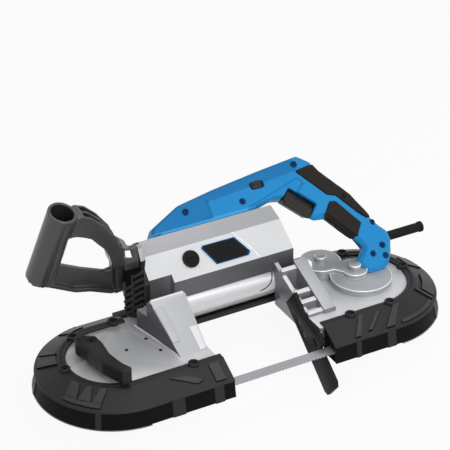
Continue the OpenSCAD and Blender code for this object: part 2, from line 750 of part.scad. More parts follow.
module front_handle() {
  lean = atan2(grip_head.x - grip_foot.x, grip_head.y - grip_foot.y);
  len = norm(grip_head - grip_foot);
  color(black) difference() {
    union() {
      grip_plane() {
        translate(grip_foot) rotate([-90, 0, -lean]) cylinder(h = len, r = grip_r);
        translate(grip_foot) rotate([0, 0, -lean]) scale([1, 0.55, 1]) sphere(r = grip_r);
        upper_arm();
        lower_arm();
        translate([0, 0, -9]) linear_extrude(18) polygon([[-124, 40], [-107, 40], [-107, -9], [-116, -9]]);
      }
      // Foot on the end cap and bracket to its ear
      along_x(front_x - 14, front_x) polygon([[66, 26], [90, 26], [90, 52], [74, 58]]);
      along_x(front_x - 18, front_x) translate([top_y, seat_z])
        polygon([[-14.2, -24.2], [-5.2, -15.2], [-2.2, -3.2], [-5.2, 2.8], [-12.2, 2.8], [-15.2, -13.2]]);
      along_x(front_x - 14, front_x - 6)
        polygon([[top_y - 11.2, seat_z - 20.2], [top_y - 5.2, seat_z - 8.2], [84, 74], [84, 50], [74, 50]]);
    }
    grip_plane() translate(grip_foot) rotate([-90, 0, -lean]) translate([0, 0, 24])
      cylinder(h = len, r = grip_bore_r);
    // Window in the bracket
    translate([front_x - 10.5, top_y - 8.2, seat_z - 6]) rotate([-120, 0, -30]) cube([9, 8, 60], center = true);
    for (p = front_screw_places) translate([0, p.x, p.y]) rod_x(front_x - 30, front_x + 1, 2.5 + slip_fit);
    for (p = front_screw_places) translate([0, p.x, p.y]) rod_x(front_x - 60, front_x - 6, 4.6);
  }
}

front_screw_places = [[82, 26], [82, 46]];

module front_handle_screws() {
  color(steel) for (p = front_screw_places) translate([0, p.x, p.y]) {
    rod_x(front_x - 6, front_x, 2.5);
    rod_x(front_x - 9, front_x - 6, 4.3);
  }
}

module stop_plate() {
  color(black) handle_plane() difference() {
    along_x(stop_x, stop_x + stop_t) polygon([[2, -5], [6, 21], [-26, 25], cut_at + [28, -0.4],
      cut_at + [10, 1.6], cut_at + [7, -4.4], cut_at + [7, -8.4], cut_at + [-34, -2.4], cut_at + [-40, -6.4],
      cut_at + [-43, -30.4], cut_at + [-38, -34.4]]);
    for (p = stop_bolts) translate([0, p.x, p.y]) rod_x(stop_x - 1, stop_x + stop_t + 1, 2.5 + slip_fit);
    for (p = stop_bolts) translate([0, p.x, p.y]) rod_x(stop_x - 1, stop_x + stop_head, 4.4);
    along_x(stop_x - 1, stop_x + stop_t + 1) translate(cut_at + [10, -15.4]) square([10, 4]);
  }
}

module stop_plate_screws() {
  color(steel) handle_plane() for (p = stop_bolts) translate([0, p.x, p.y]) {
    rod_x(stop_x + 0.6, stop_x + stop_head, 4.2);
    rod_x(stop_x + stop_head, stop_x + stop_t + 6, 2.5);
  }
}

// Blade: the loop as one toothed strip. Runs: front, idler arc, back, drive arc
run_l = wheel_spacing;
arc_l = PI * blade_r;
loop_l = 2 * run_l + 2 * arc_l;
teeth = floor(loop_l / tooth_pitch);
ring_n = 2 * teeth;
twist_start = cx - 14;
function smooth(t) = t <= 0 ? 0 : t >= 1 ? 1 : t * t * (3 - 2 * t);
// How far the front run has turned into the cutting position, from 0 at a wheel to 1 between the guides
function guided(x) = x < 0 ? smooth((x + twist_start) / (twist_start + guide_x_left - 22))
  : smooth((twist_start - x) / (twist_start - guide_x_right - 22));
// Middle of the strip, its tangent and its width direction at distance s round the loop
function strip(s) = s < run_l ? front_run(cx - s)
  : s < run_l + arc_l ? arc_run(-cx, -90 - (s - run_l) / blade_r * 180 / PI)
  : s < 2 * run_l + arc_l ? [[-cx + s - run_l - arc_l, blade_r, wheel_z], [1, 0, 0], [0, 0, -1]]
  : arc_run(cx, 90 - (s - 2 * run_l - arc_l) / blade_r * 180 / PI);
function front_run(x) = let (k = guided(x), a = blade_twist * k)
  [[x, -blade_r + k * (blade_r - cut_y), wheel_z + k * (cut_z - wheel_z)], [-1, 0, 0], [0, -sin(a), -cos(a)]];
function arc_run(x, a) = [[x + blade_r * cos(a), blade_r * sin(a), wheel_z], [sin(a), -cos(a), 0], [0, 0, -1]];
// Four corners of the strip at ring i: even rings are tooth tips, odd rings are gullets
function ring(i) = let (q = strip(i * loop_l / ring_n), n = cross(q[1], q[2]) * blade_t / 2,
  tip = q[0] + q[2] * (blade_w / 2 - (i % 2) * tooth_h), back = q[0] - q[2] * blade_w / 2)
  [back - n, tip - n, tip + n, back + n];

module blade() {
  points = [for (i = [0:ring_n - 1]) each ring(i)];
  faces = [for (i = [0:ring_n - 1], k = [0:3]) let (a = 4 * i, b = 4 * ((i + 1) % ring_n), m = (k + 1) % 4)
    each [[a + k, b + k, b + m], [a + k, b + m, a + m]]];
  color(steel) polyhedron(points, faces);
}

// Wheel with hub, web and rim, bored for what it turns on
module wheel(bore) {
  difference() {
    post(0, 0, wheel_bottom, wheel_top, rim_r);
    difference() {
      post(0, 0, wheel_bottom - 1, wheel_bottom + 4, rim_r - 7);
      post(0, 0, wheel_bottom - 2, wheel_bottom + 5, hub_r);
    }
    difference() {
      post(0, 0, wheel_top - 4, wheel_top + 1, rim_r - 7);
      post(0, 0, wheel_top - 5, wheel_top + 2, hub_r);
    }
    post(0, 0, wheel_bottom - 1, wheel_top + 1, bore);
    for (a = [0:60:300]) rotate([0, 0, a])
      post((hub_r + rim_r - 7) / 2, 0, wheel_bottom - 1, wheel_top + 1, 13);
  }
}

module tyre() {
  difference() {
    post(0, 0, wheel_bottom + 0.5, wheel_top - 0.5, wheel_r);
    post(0, 0, wheel_bottom - 1, wheel_top + 1, rim_r);
  }
}

idler_bearing_r = 14;
hub_r = 24;

module drive_wheel() { color(aluminium) translate([cx, 0, 0]) wheel(drive_shaft_r + slip_fit); }
module drive_tyre() { color(black) translate([cx, 0, 0]) tyre(); }
module idler_wheel() { color(aluminium) translate([-cx, 0, 0]) wheel(idler_bearing_r + slip_fit); }
module idler_tyre() { color(black) translate([-cx, 0, 0]) tyre(); }

module drive_shaft() {
  color(steel) translate([cx, 0, 0]) {
    post(0, 0, wheel_bottom - 1, gear_z0 + gear_w + 0.3, drive_shaft_r);
    post(0, 0, wheel_bottom - 3.5, wheel_bottom - 1, 11);
  }
}

// Ball bearing as inner and outer race with a ring of balls between
module bearing(r_in, r_out, w) {
  mid = (r_in + r_out) / 2;
  ball = (r_out - r_in) * 0.28;
  difference() {
    cylinder(h = w, r = r_out);
    translate([0, 0, -1]) cylinder(h = w + 2, r = r_in);
    translate([0, 0, w - 1]) difference() {
      cylinder(h = 2, r = mid + ball * 0.8);
      translate([0, 0, -1]) cylinder(h = 4, r = mid - ball * 0.8);
    }
  }
}

module drive_bearings() {
  color(steel) translate([cx, 0, -0.3 - drive_bearing_w])
    bearing(drive_shaft_r + run_fit, drive_bearing_r, drive_bearing_w);
}

module idler_axle() {
  color(steel) translate([-cx, 0, 0]) {
    post(0, 0, wheel_bottom - 0.5, carriage_z0, idler_axle_r);
    post(0, 0, carriage_z0, carriage_z1, idler_axle_r - 1);
    post(0, 0, wheel_bottom - 3, wheel_bottom - 0.5, 10);
  }
}

module idler_bearings() {
  color(steel) translate([-cx, 0, wheel_bottom + 0.5])
    bearing(idler_axle_r + run_fit, idler_bearing_r, wheel_w - 1);
}

module idler_carriage() {
  // The window leaves the cam room at the carriage's left wall through the whole turn
  reach = pivot_r + cam_gap;
  color(steel) translate([-cx, 0, carriage_z0]) difference() {
    translate([-lever_dx - reach - 6, -22, 0]) cube([lever_dx + reach + 6 + 14, 44, carriage_z1 - carriage_z0]);
    translate([0, 0, -1]) cylinder(h = 20, r = idler_axle_r - 1 + slip_fit);
    translate([-lever_dx - reach, lever_dy - reach, -1]) cube([2 * reach, 40, 20]);
  }
}

module tension_lever() {
  color(black) translate([lever_x, lever_y, 0]) difference() {
    union() {
      // Pivot and cam
      post(0, 0, carriage_z1, lever_z + 1, pivot_r);
      post(-cam_throw, 0, carriage_z0 + 0.4, carriage_z1 + 1, cam_r);
      // Curved arm and the foot under its end
      translate([0, 0, lever_z]) linear_extrude(lever_top - lever_z) lever_plan();
      post(lever_knob.x, lever_knob.y, lip_h + 0.8, lever_z + 1, 5.5);
    }
    post(0, 0, 10, 30, 3 + slip_fit);
    post(0, 0, 21, 30, 5.4);
  }
}

// Curved plan of the lever's arm
module lever_plan() {
  offset(r = 4) offset(delta = -4) offset(r = -20) offset(delta = 20)
    polygon([[-16, 9], [-13, 12], [-4, 12], [7, 5], [8, -11], [6, -32], [10, -54], [18, -72], [4, -68],
      [-7, -40], [-10, -12], [-16, 3]]);
}

module lever_screw() {
  color(steel) translate([lever_x, lever_y, 0]) difference() {
    union() {
      post(0, 0, 10, 21, 3);
      post(0, 0, 21, 23.6, 5.1);
    }
    translate([0, 0, 22.2]) cylinder(h = 4, r = 2.6, $fn = 6);
  }
}

// Guide bracket at x, its back roller on the side s
module guide_bracket(x, s) {
  color(steel) {
    block([x - 6, 5 - roller_y, -31], [x + 6, 5.5 - guide_y, -plate_t]);
    post(x, -guide_y, -14, -slide_fit, screw_r);
    block([x + min(0, s * back_roller_dx), back_roller_y - 0.8, -14.2],
      [x + max(0, s * back_roller_dx), 4 - guide_y, -8.5]);
    translate([x + s * back_roller_dx, 0, 0]) post(0, back_roller_y, -14.2, -8.5, 3.8);
    for (k = [-1, 1]) translate([x, 0, cut_z + k * roller_off]) rotate([90, 0, 0])
      translate([0, 0, roller_y - 13]) cylinder(h = 13 + guide_l, r = guide_pin_r);
    post(x + s * back_roller_dx, back_roller_y, -14.2 - back_roller_w - 0.8, -14, guide_pin_r);
  }
}

module guide_roller(x, k) {
  color(steel) translate([x, 0, cut_z + k * roller_off]) rotate([90, 0, 0]) translate([0, 0, roller_y])
    difference() {
      cylinder(h = guide_l - 0.5, r = guide_roller_r);
      translate([0, 0, -1]) cylinder(h = guide_l + 2, r = guide_pin_r + run_fit);
    }
}

module guide_back_roller(x, s) {
  color(steel) translate([x + s * back_roller_dx, back_roller_y, -14.5 - back_roller_w]) difference() {
    cylinder(h = back_roller_w, r = guide_roller_r);
    translate([0, 0, -1]) cylinder(h = back_roller_w + 2, r = guide_pin_r + run_fit);
  }
}

module idler_guide_bracket() { guide_bracket(guide_x_left, -1); }
module idler_guide_upper_roller() { guide_roller(guide_x_left, 1); }
module idler_guide_lower_roller() { guide_roller(guide_x_left, -1); }
module idler_guide_back_roller() { guide_back_roller(guide_x_left, -1); }
module drive_guide_bracket() { guide_bracket(guide_x_right, 1); }
module drive_guide_upper_roller() { guide_roller(guide_x_right, 1); }
module drive_guide_lower_roller() { guide_roller(guide_x_right, -1); }
module drive_guide_back_roller() { guide_back_roller(guide_x_right, 1); }

module armature() {
  core_r = stator_r - 12.7;
  color(steel) motor_axis() {
    rod_x(motor_x0 - end_cap_l + 8.5, 92, motor_shaft_r);
    rod_x(-12, 46, core_r);
    difference() {
      rod_x(-46, -22, 12);
      for (a = [0:30:330]) rotate([a, 0, 0]) block([-50, -0.5, 10], [-20, 0.5, 14]);
    }
    rod_x(55, 57, stator_r - 3);
    for (a = [0:36:324]) rotate([a, 0, 0]) block([56, -0.8, 7], [64, 0.8, stator_r - 4]);
    rod_x(56, 64, 9);
  }
}

module stator() {
  color(steel) motor_axis() difference() {
    rod_x(-13, 47, stator_r);
    rod_x(-20, 60, stator_r - 12);
    for (a = [45:90:315]) rotate([a, 0, 0]) block([-20, -5, stator_r - 10.5], [60, 5, stator_r - 4]);
  }
}

module motor_bearings() {
  x0 = motor_x0 - end_cap_l;
  color(steel) motor_axis() {
    translate([x0 + 9, 0, 0]) rotate([0, 90, 0]) bearing(motor_shaft_r + run_fit, 9, 8);
    translate([79, 0, 0]) rotate([0, 90, 0]) bearing(motor_shaft_r + run_fit, 11, 8);
  }
}

// Straight-flanked gear teeth: a ring of n teeth, the first one centred on angle zero
module gear_plan(n) {
  r = gear_m * n / 2;
  root = r - 1.25 * gear_m;
  tip = r + 0.9 * gear_m;
  step = 360 / n;
  polygon([for (i = [0:n - 1]) each [
    root * [cos((i - 0.37) * step), sin((i - 0.37) * step)],
    tip * [cos((i - 0.12) * step), sin((i - 0.12) * step)],
    tip * [cos((i + 0.12) * step), sin((i + 0.12) * step)],
    root * [cos((i + 0.37) * step), sin((i + 0.37) * step)]]]);
}

module drive_gear() {
  color(steel) translate([cx, 0, gear_z0]) difference() {
    linear_extrude(gear_w) rotate(pinion_dir) gear_plan(gear_n);
    translate([0, 0, -1]) cylinder(h = 20, r = drive_shaft_r + slip_fit);
    for (a = [0:60:300]) rotate([0, 0, a]) translate([20, 0, -1]) cylinder(h = 20, r = 6);
  }
}

module pinion_shaft() {
  color(steel) translate([pinion_x, pinion_y, 0]) {
    translate([0, 0, gear_z0]) linear_extrude(gear_w)
      rotate(pinion_dir + 180 + 180 / pinion_n) gear_plan(pinion_n);
    post(0, 0, -3.6, gear_z0, pinion_shaft_r);
    post(0, 0, gear_z0, kidney_h - 3, pinion_shaft_r - 1);
  }
}

translate(origin_shift) {
  main_frame();
  motor_housing();
  motor_end_cap();
  brush_caps();
  badge_plate();
  rear_guard();
  idler_guard();
  drive_guard();
  guard_trims();
  guard_screws();
  gear_cover();
  gear_cover_caps();
  handle_shell_near();
  handle_shell_far();
  grip_back();
  grip_sides();
  handle_screws();
  trigger();
  speed_dial();
  switch_body();
  cord_sleeve();
  front_handle();
  front_handle_screws();
  stop_plate();
  stop_plate_screws();
  blade();
  drive_wheel();
  drive_tyre();
  idler_wheel();
  idler_tyre();
  drive_shaft();
  drive_bearings();
  idler_axle();
  idler_bearings();
  idler_carriage();
  tension_lever();
  lever_screw();
  idler_guide_bracket();
  idler_guide_upper_roller();
  idler_guide_lower_roller();
  idler_guide_back_roller();
  drive_guide_bracket();
  drive_guide_upper_roller();
  drive_guide_lower_roller();
  drive_guide_back_roller();
  armature();
  stator();
  motor_bearings();
  drive_gear();
  pinion_shaft();
}
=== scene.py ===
"""Looks of a portable deep-throat metal band saw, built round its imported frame."""
import math

import bmesh
import bpy
from mathutils import Matrix, Vector


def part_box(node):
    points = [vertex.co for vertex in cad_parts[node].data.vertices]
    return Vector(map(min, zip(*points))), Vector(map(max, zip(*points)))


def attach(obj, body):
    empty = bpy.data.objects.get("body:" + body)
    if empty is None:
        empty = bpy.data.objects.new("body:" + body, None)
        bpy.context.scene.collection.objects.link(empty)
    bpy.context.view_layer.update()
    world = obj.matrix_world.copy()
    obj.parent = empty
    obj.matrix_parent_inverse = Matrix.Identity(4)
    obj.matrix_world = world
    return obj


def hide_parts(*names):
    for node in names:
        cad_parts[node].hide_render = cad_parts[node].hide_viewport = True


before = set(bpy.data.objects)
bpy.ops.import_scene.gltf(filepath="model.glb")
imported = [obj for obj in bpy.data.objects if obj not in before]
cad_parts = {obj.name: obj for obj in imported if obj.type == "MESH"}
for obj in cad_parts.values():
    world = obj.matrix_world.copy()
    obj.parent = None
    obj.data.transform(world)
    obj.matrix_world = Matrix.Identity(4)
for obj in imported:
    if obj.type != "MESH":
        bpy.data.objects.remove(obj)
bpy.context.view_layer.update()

MM = 0.001
# From the saw's own plan, in millimetres, to the frame
SHIFT = Vector((-6.25, -9.23, 71.4))
WHEEL_X = 156.5
ROOT = "saw_body"
HALF = math.sqrt(0.5)
# Where the front handle's plane stands, and its tilt
GRIP_Y, GRIP_Z, GRIP_TILT = 82, 36, math.radians(108)
# Edges that turn by more than this are rounded
SHARP_EDGE = math.radians(28)


def at(x, y, z):
    """A point of the saw's plan: zero height is the top of the wheel plates."""
    return (Vector((x, y, z)) + SHIFT) * MM


def on_handle(x, u, v):
    """A point in the switch handle's slanting plane: u up the slope, v out of its near side."""
    return at(x, (u - v) * HALF, (u + v) * HALF)


def to_handle(p):
    """How far a point or a direction of the plan reaches up the handle's slope and out of its near side."""
    return (p.y + p.z) * HALF, (p.z - p.y) * HALF


def along_line(x, u, line):
    """How far a spot of the handle's plane lies along a line, given as a start and a way, and out beside it."""
    (start_x, start_u), (way_x, way_u) = line
    x, u = x - start_x, u - start_u
    return x * way_x + u * way_u, u * way_x - x * way_u


def clamped(value):
    """The value kept between 0 and 1."""
    return min(max(value, 0.0), 1.0)


def read_off(value, points):
    """A height read off a line of points, level beyond its ends."""
    height = points[0][1]
    for (a, low), (b, high) in zip(points, points[1:]):
        height += (high - low) * clamped((value - a) / (b - a))
    return height


# Finishes

class Value:
    """A shader socket that takes part in plain arithmetic."""

    def __init__(self, finish, socket):
        self.finish = finish
        self.socket = socket

    def _math(self, operation, a, b):
        return self.finish.node("ShaderNodeMath", {"operation": operation}, {0: a, 1: b})

    def __add__(self, other):
        return self._math("ADD", self, other)

    def __sub__(self, other):
        return self._math("SUBTRACT", self, other)

    def __mul__(self, other):
        return self._math("MULTIPLY", self, other)


class Finish:
    """One procedural material: a Principled shader and what feeds it."""

    def __init__(self, name, **fixed):
        self.material = bpy.data.materials.new(name)
        self.material.use_nodes = True
        self.tree = self.material.node_tree
        self.shader = self.tree.nodes["Principled BSDF"]
        for key, value in fixed.items():
            self.shader.inputs[key.replace("_", " ").title()].default_value = value
        self.place = self.node("ShaderNodeTexCoord", out="Object")

    def node(self, kind, settings=None, sockets=None, out=0):
        """Adds a node with its settings, then its sockets' values or links."""
        made = self.tree.nodes.new(kind)
        for key, value in (settings or {}).items():
            setattr(made, key, value)
        for key, value in (sockets or {}).items():
            self.put(made.inputs[key], value)
        return Value(self, made.outputs[out])

    def put(self, socket, value):
        """Links a value into a socket, or sets the socket to it."""
        if isinstance(value, Value):
            self.tree.links.new(value.socket, socket)
        else:
            socket.default_value = value

    def feed(self, **values):
        """Puts values into the shader's sockets."""
        for key, value in values.items():
            self.put(self.shader.inputs[key.replace("_", " ").title()], value)

    def noise(self, scale, detail, stretch=(1, 1, 1), turn=(0, 0, 0)):
        """Noise in the piece's own place, stretched and turned."""
        mapped = self.node("ShaderNodeMapping", {}, {"Vector": self.place, "Scale": stretch, "Rotation": turn})
        return self.node("ShaderNodeTexNoise", {}, {"Vector": mapped, "Scale": scale, "Detail": detail})

    def tone(self, amount, dark, light):
        """A colour between two, by a value."""
        return self.node("ShaderNodeMix", {"data_type": "RGBA"}, {0: amount, 6: dark, 7: light}, out=2)

    def relief(self, height, depth, strength):
        """A normal from a height, with the relief's depth in metres."""
        return self.node("ShaderNodeBump", {}, {"Height": height, "Distance": depth, "Strength": strength})


def rgb(r, g, b):
    """An sRGB colour, 0 to 255, as the shader's linear values."""
    def linear(c):
        c /= 255
        return c / 12.92 if c <= 0.04045 else ((c + 0.055) / 1.055) ** 2.4
    return (linear(r), linear(g), linear(b), 1.0)


def cast_metal(name, dark, light, metallic, rough):
    """Bead-blasted cast aluminium with slow cloudy tone and a fine grain."""
    f = Finish(name, metallic=metallic)
    cloud = f.noise(22, 4)
    fine = f.noise(2600, 2)
    f.feed(base_color=f.tone(cloud, dark, light), roughness=cloud * 0.12 + fine * 0.08 + (rough - 0.1),
           normal=f.relief(fine, 0.00003, 0.5))
    return f.material


def brushed_metal(name, dark, light, metallic, rough):
    """Metal with fine straight brush lines."""
    f = Finish(name, metallic=metallic)
    lines = f.noise(900, 3, (0.03, 1, 1))
    cloud = f.noise(15, 3)
    f.feed(base_color=f.tone(lines * 0.5 + cloud * 0.5, dark, light), roughness=lines * 0.16 + (rough - 0.08),
           normal=f.relief(lines, 0.00002, 0.35))
    return f.material


def moulded(name, dark, light, rough=0.42, grain=0.00005, scale=1500, gloss=0.25):
    """Injection-moulded plastic with a spark-eroded grain."""
    f = Finish(name)
    f.shader.inputs["Specular IOR Level"].default_value = gloss
    cloud = f.noise(14, 3)
    pebble = f.noise(scale, 3)
    f.feed(base_color=f.tone(cloud, dark, light), roughness=pebble * 0.12 + (rough - 0.06),
           normal=f.relief(pebble, grain, 0.6))
    return f.material


def metal_with_painted_falloff(name, dark, light, turn):
    """Brushed plate with painted light that falls off slowly towards the back of the saw."""
    f = Finish(name, metallic=0.25)
    lines = f.noise(900, 3, (0.03, 1, 1), (0, 0, turn))
    cloud = f.noise(9, 2)
    back = f.node("ShaderNodeSeparateXYZ", {}, {0: f.place}, out="Y")
    # The base colour darkens with the distance back: painted light falling off.
    f.feed(base_color=f.tone(lines * 0.3 + cloud * 0.5 + 0.1 - back * 5, dark, light),
           roughness=lines * 0.16 + 0.26, normal=f.relief(lines, 0.00002, 0.3))
    return f.material


silver = cast_metal("cast_silver", rgb(218, 219, 221), rgb(230, 231, 233), 0.1, 0.5)
# Plate tone with painted light that falls off towards the back.
plate_painted_falloff = metal_with_painted_falloff("brushed_plate_painted_falloff", rgb(176, 178, 181), rgb(234, 235, 237), 0.35)
# Darker copy of the cast silver for the motor's shoulder and the cap's corner: painted shade.
shoulder = cast_metal("shoulder_silver_painted_shade", rgb(166, 167, 170), rgb(182, 183, 186), 0.2, 0.42)
# Brushed lines in a darker copy of the silver for the motor's front: painted shade.
front_painted_shade = brushed_metal("front_painted_shade", rgb(92, 93, 96), rgb(112, 113, 116), 0.4, 0.4)
# Darker copy of the silver for the frame's left-hand walls: painted shade.
painted_shade_wall = cast_metal("painted_shade_wall", rgb(76, 77, 80), rgb(92, 93, 96), 0.3, 0.45)
# Grey copy of the silver for the frame's right-hand walls and the motor's end: painted shade.
painted_grey_shade_wall = cast_metal("painted_grey_shade_wall", rgb(132, 133, 136), rgb(152, 153, 156), 0.35, 0.42)
# Darker copy of the silver for the ramps: painted shade.
ramp_painted_shade = cast_metal("ramp_painted_shade", rgb(178, 179, 182), rgb(194, 195, 198), 0.2, 0.45)
# Near-white copy of the silver for the ribs' tops, the ramp's pad and the leg's lip: painted highlight.
rib_painted_highlight = cast_metal("rib_painted_highlight", rgb(222, 223, 225), rgb(236, 237, 239), 0.15, 0.45)
# Lighter copy of the silver for the bridge's round front: painted highlight.
tube_painted_highlight = cast_metal("tube_painted_highlight", rgb(226, 227, 229), rgb(238, 239, 241), 0.25, 0.38)
# Near-white copy of the cast metal for edges, rims, lines and the lug: painted highlight.
painted_highlight_edge = cast_metal("painted_highlight_edge", rgb(244, 244, 245), rgb(252, 252, 252), 0.3, 0.25)
gear_grey = cast_metal("gear_case", rgb(166, 168, 171), rgb(188, 190, 193), 0.35, 0.38)
black = moulded("black_moulding", rgb(34, 34, 36), rgb(46, 46, 48), gloss=0.2)
# Darker copy of the black moulding for let-in panels, ribs' sides, end walls and the vent's well: painted shade.
black_painted_shade = moulded("black_painted_shade", rgb(14, 14, 16), rgb(20, 20, 22), 0.5, gloss=0.06)
warm_black = moulded("warm_black", rgb(38, 34, 32), rgb(50, 45, 43), 0.36, 0.00003, 900, 0.2)
stop_black = moulded("stop_black", rgb(30, 30, 32), rgb(40, 40, 42), 0.5, gloss=0.08)
# Lighter copy of the black moulding for ribs' tops and the vent's slats and frame: painted highlight.
black_painted_highlight = moulded("black_painted_highlight", rgb(52, 52, 54), rgb(64, 64, 66), gloss=0.25)
black_smooth = moulded("black_smooth", rgb(20, 20, 22), rgb(28, 28, 30), 0.34, 0.00002, 900, 0.1)
black_satin = moulded("black_satin", rgb(46, 46, 48), rgb(58, 58, 60), 0.3, 0.00002, 900, 0.7)
lever_black = moulded("lever_black", rgb(26, 26, 28), rgb(36, 36, 38), 0.34, 0.00002, 900, 0.25)
blue = moulded("blue_moulding", rgb(30, 140, 208), rgb(42, 152, 218), 0.42, 0.00002, 1100, 0.2)
# Lighter copy of the blue for the lip along the handle's seat: painted highlight.
blue_painted_highlight = moulded("blue_lip_painted_highlight", rgb(60, 162, 230), rgb(70, 172, 238), 0.42, 0.00002, 1100, 0.2)
# Darker copy of the blue for the handle's sunk nose and crown: painted shade.
blue_painted_shade = moulded("blue_sunk_painted_shade", rgb(26, 122, 186), rgb(36, 134, 198), 0.45, 0.00002, 1100, 0.15)
# Dark blue for the handle's screws and a plug in their recesses: painted shade.
dark_blue_painted_shade = moulded("blue_recess_painted_shade", rgb(14, 50, 86), rgb(20, 60, 100), 0.5, 0.00002, 1100, 0.1)
navy = moulded("navy_border", rgb(22, 62, 104), rgb(28, 74, 120), 0.3, 0.00001, 900, 0.1)
pale_edge = moulded("pale_edge", rgb(196, 220, 240), rgb(212, 232, 248), 0.3, 0.00001, 900)
soft = moulded("soft_grip", rgb(36, 33, 31), rgb(48, 44, 42), 0.62, 0.00012, 700, 0.1)
rubber = moulded("rubber", rgb(24, 24, 25), rgb(34, 34, 35), 0.7, 0.0001, 800, 0.1)
steel = brushed_metal("plain_steel", rgb(120, 122, 126), rgb(165, 167, 171), 0.8, 0.34)
dark_steel = brushed_metal("dark_steel", rgb(28, 29, 31), rgb(44, 45, 48), 0.6, 0.4)
blade_steel = brushed_metal("blade_steel", rgb(142, 144, 148), rgb(184, 186, 190), 0.7, 0.3)
iron = cast_metal("laminated_iron", rgb(80, 80, 83), rgb(104, 104, 107), 0.6, 0.5)


# Making pieces

def piece(name, mesh, finishes, body, slot, *nodes, sharp=32):
    """A finished piece from a bmesh, riding on its body and standing for its nodes."""
    data = bpy.data.meshes.new(name)
    mesh.normal_update()
    mesh.to_mesh(data)
    mesh.free()
    return placed(name, data, finishes, body, slot, *nodes, sharp=sharp)


def placed(name, data, finishes, body, slot, *nodes, sharp=32):
    """The same from a mesh that is ready."""
    data.name = name
    zones = [face.material_index for face in data.polygons]
    data.materials.clear()
    for finish in finishes if isinstance(finishes, (list, tuple)) else [finishes]:
        data.materials.append(finish)
    data.polygons.foreach_set("material_index", zones)
    data.polygons.foreach_set("use_smooth", [True] * len(data.polygons))
    data.set_sharp_from_angle(angle=math.radians(sharp))
    made = bpy.data.objects.new(name, data)
    bpy.context.scene.collection.objects.link(made)
    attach(made, body)
    if nodes:
        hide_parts(*nodes)
    return made


def solid_of(*nodes):
    """A clean bmesh copy of the nodes' solids: merged, with their flat faces whole."""
    mesh = bmesh.new()
    for node in nodes:
        mesh.from_mesh(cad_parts[node].data)
    bmesh.ops.remove_doubles(mesh, verts=mesh.verts, dist=2e-6)
    bmesh.ops.dissolve_degenerate(mesh, dist=1e-6, edges=mesh.edges)
    bmesh.ops.dissolve_limit(mesh, angle_limit=math.radians(0.6), verts=mesh.verts, edges=mesh.edges)
    return mesh


def soften(mesh, width, steps, finish=-1):
    """Rounds the sharp edges of a mesh. The new faces take their neighbours' finish, or the one given."""
    sharp = [e for e in mesh.edges if e.is_manifold and e.calc_face_angle(0) > SHARP_EDGE]
    bmesh.ops.bevel(mesh, geom=sharp, offset=width * MM, segments=steps, profile=0.5, affect="EDGES",
                    offset_type="OFFSET", clamp_overlap=True, material=finish)
    return mesh


def trimmed(corners, trim):
    """Moves corners by a rule of the saw's plan."""
    for corner in corners:
        corner.co = (trim(Vector(corner.co) / MM - SHIFT) + SHIFT) * MM


def rounded(node, width, finishes, slot, body=ROOT, steps=2, edge_finish=-1, zones=None, trim=None):
    """A node's own solid with its edges rounded, trimmed by a rule, and its faces given their finish by zone."""
    mesh = soften(solid_of(node), width, steps, edge_finish)
    if trim:
        trimmed(mesh.verts, trim)
    if zones:
        mesh.normal_update()
        for face in mesh.faces:
            spot = face.calc_center_median() / MM - SHIFT
            face.material_index = zones(spot, face.normal)
    return piece(node + "_finished", mesh, finishes, body, slot, node)


def settled(work):
    """The plain mesh of an object's modifiers; the object goes."""
    bpy.context.scene.collection.objects.link(work)
    result = bpy.data.meshes.new_from_object(work.evaluated_get(bpy.context.evaluated_depsgraph_get()))
    bpy.data.objects.remove(work)
    return result


def flowed(name, nodes, skin, rounds, finishes, slot, body=ROOT, keep=0.5, zones=None, trim=None):
    """The nodes' solids with every edge and step flowed round, as a thick moulding's are."""
    mesh = solid_of(*nodes)
    data = bpy.data.meshes.new(name)
    mesh.to_mesh(data)
    mesh.free()
    work = bpy.data.objects.new(name, data)
    remesh = work.modifiers.new("skin", "REMESH")
    remesh.mode = "VOXEL"
    remesh.voxel_size = skin * MM
    smooth = work.modifiers.new("flow", "SMOOTH")
    smooth.factor = 0.5
    smooth.iterations = rounds
    work.modifiers.new("thin", "DECIMATE").ratio = keep
    result = settled(work)
    if trim:
        trimmed(result.vertices, trim)
    if zones:
        for face in result.polygons:
            face.material_index = zones(Vector(face.center) / MM - SHIFT, face.normal)
    return placed(name, result, finishes, body, slot, *nodes, sharp=50)


def prism(mesh, corners, depth, material=0):
    """A closed plate from corners in space, thickened by a depth vector."""
    low = [mesh.verts.new(c) for c in corners]
    high = [mesh.verts.new(c + depth) for c in corners]
    count = len(corners)
    made = [mesh.faces.new(low[::-1]), mesh.faces.new(high)]
    made += [mesh.faces.new((low[i], low[(i + 1) % count], high[(i + 1) % count], high[i])) for i in range(count)]
    for face in made:
        face.material_index = material
    return made


def turned(mesh, section, centre, axis=Vector((0, 0, 1)), steps=28):
    """A ring turned round an axis from its section, given as radius and height in millimetres."""
    side = axis.orthogonal().normalized()
    other = axis.cross(side)
    rings = []
    for k in range(steps):
        a = 2 * math.pi * k / steps
        out = side * math.cos(a) + other * math.sin(a)
        rings.append([mesh.verts.new(centre + (out * r + axis * z) * MM) for r, z in section])
    count = len(section)
    for k in range(steps):
        a, b = rings[k], rings[(k + 1) % steps]
        for i in range(count):
            j = (i + 1) % count
            mesh.faces.new((a[i], b[i], b[j], a[j]))


def outward(mesh):
    """Turns every face of a closed mesh outwards."""
    bmesh.ops.recalc_face_normals(mesh, faces=mesh.faces)
    return mesh


def dress(node, finish):
    """Gives a CAD node that keeps its shape its finish."""
    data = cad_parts[node].data
    data.materials.clear()
    data.materials.append(finish)


# Patterns: things that repeat, or that follow a line

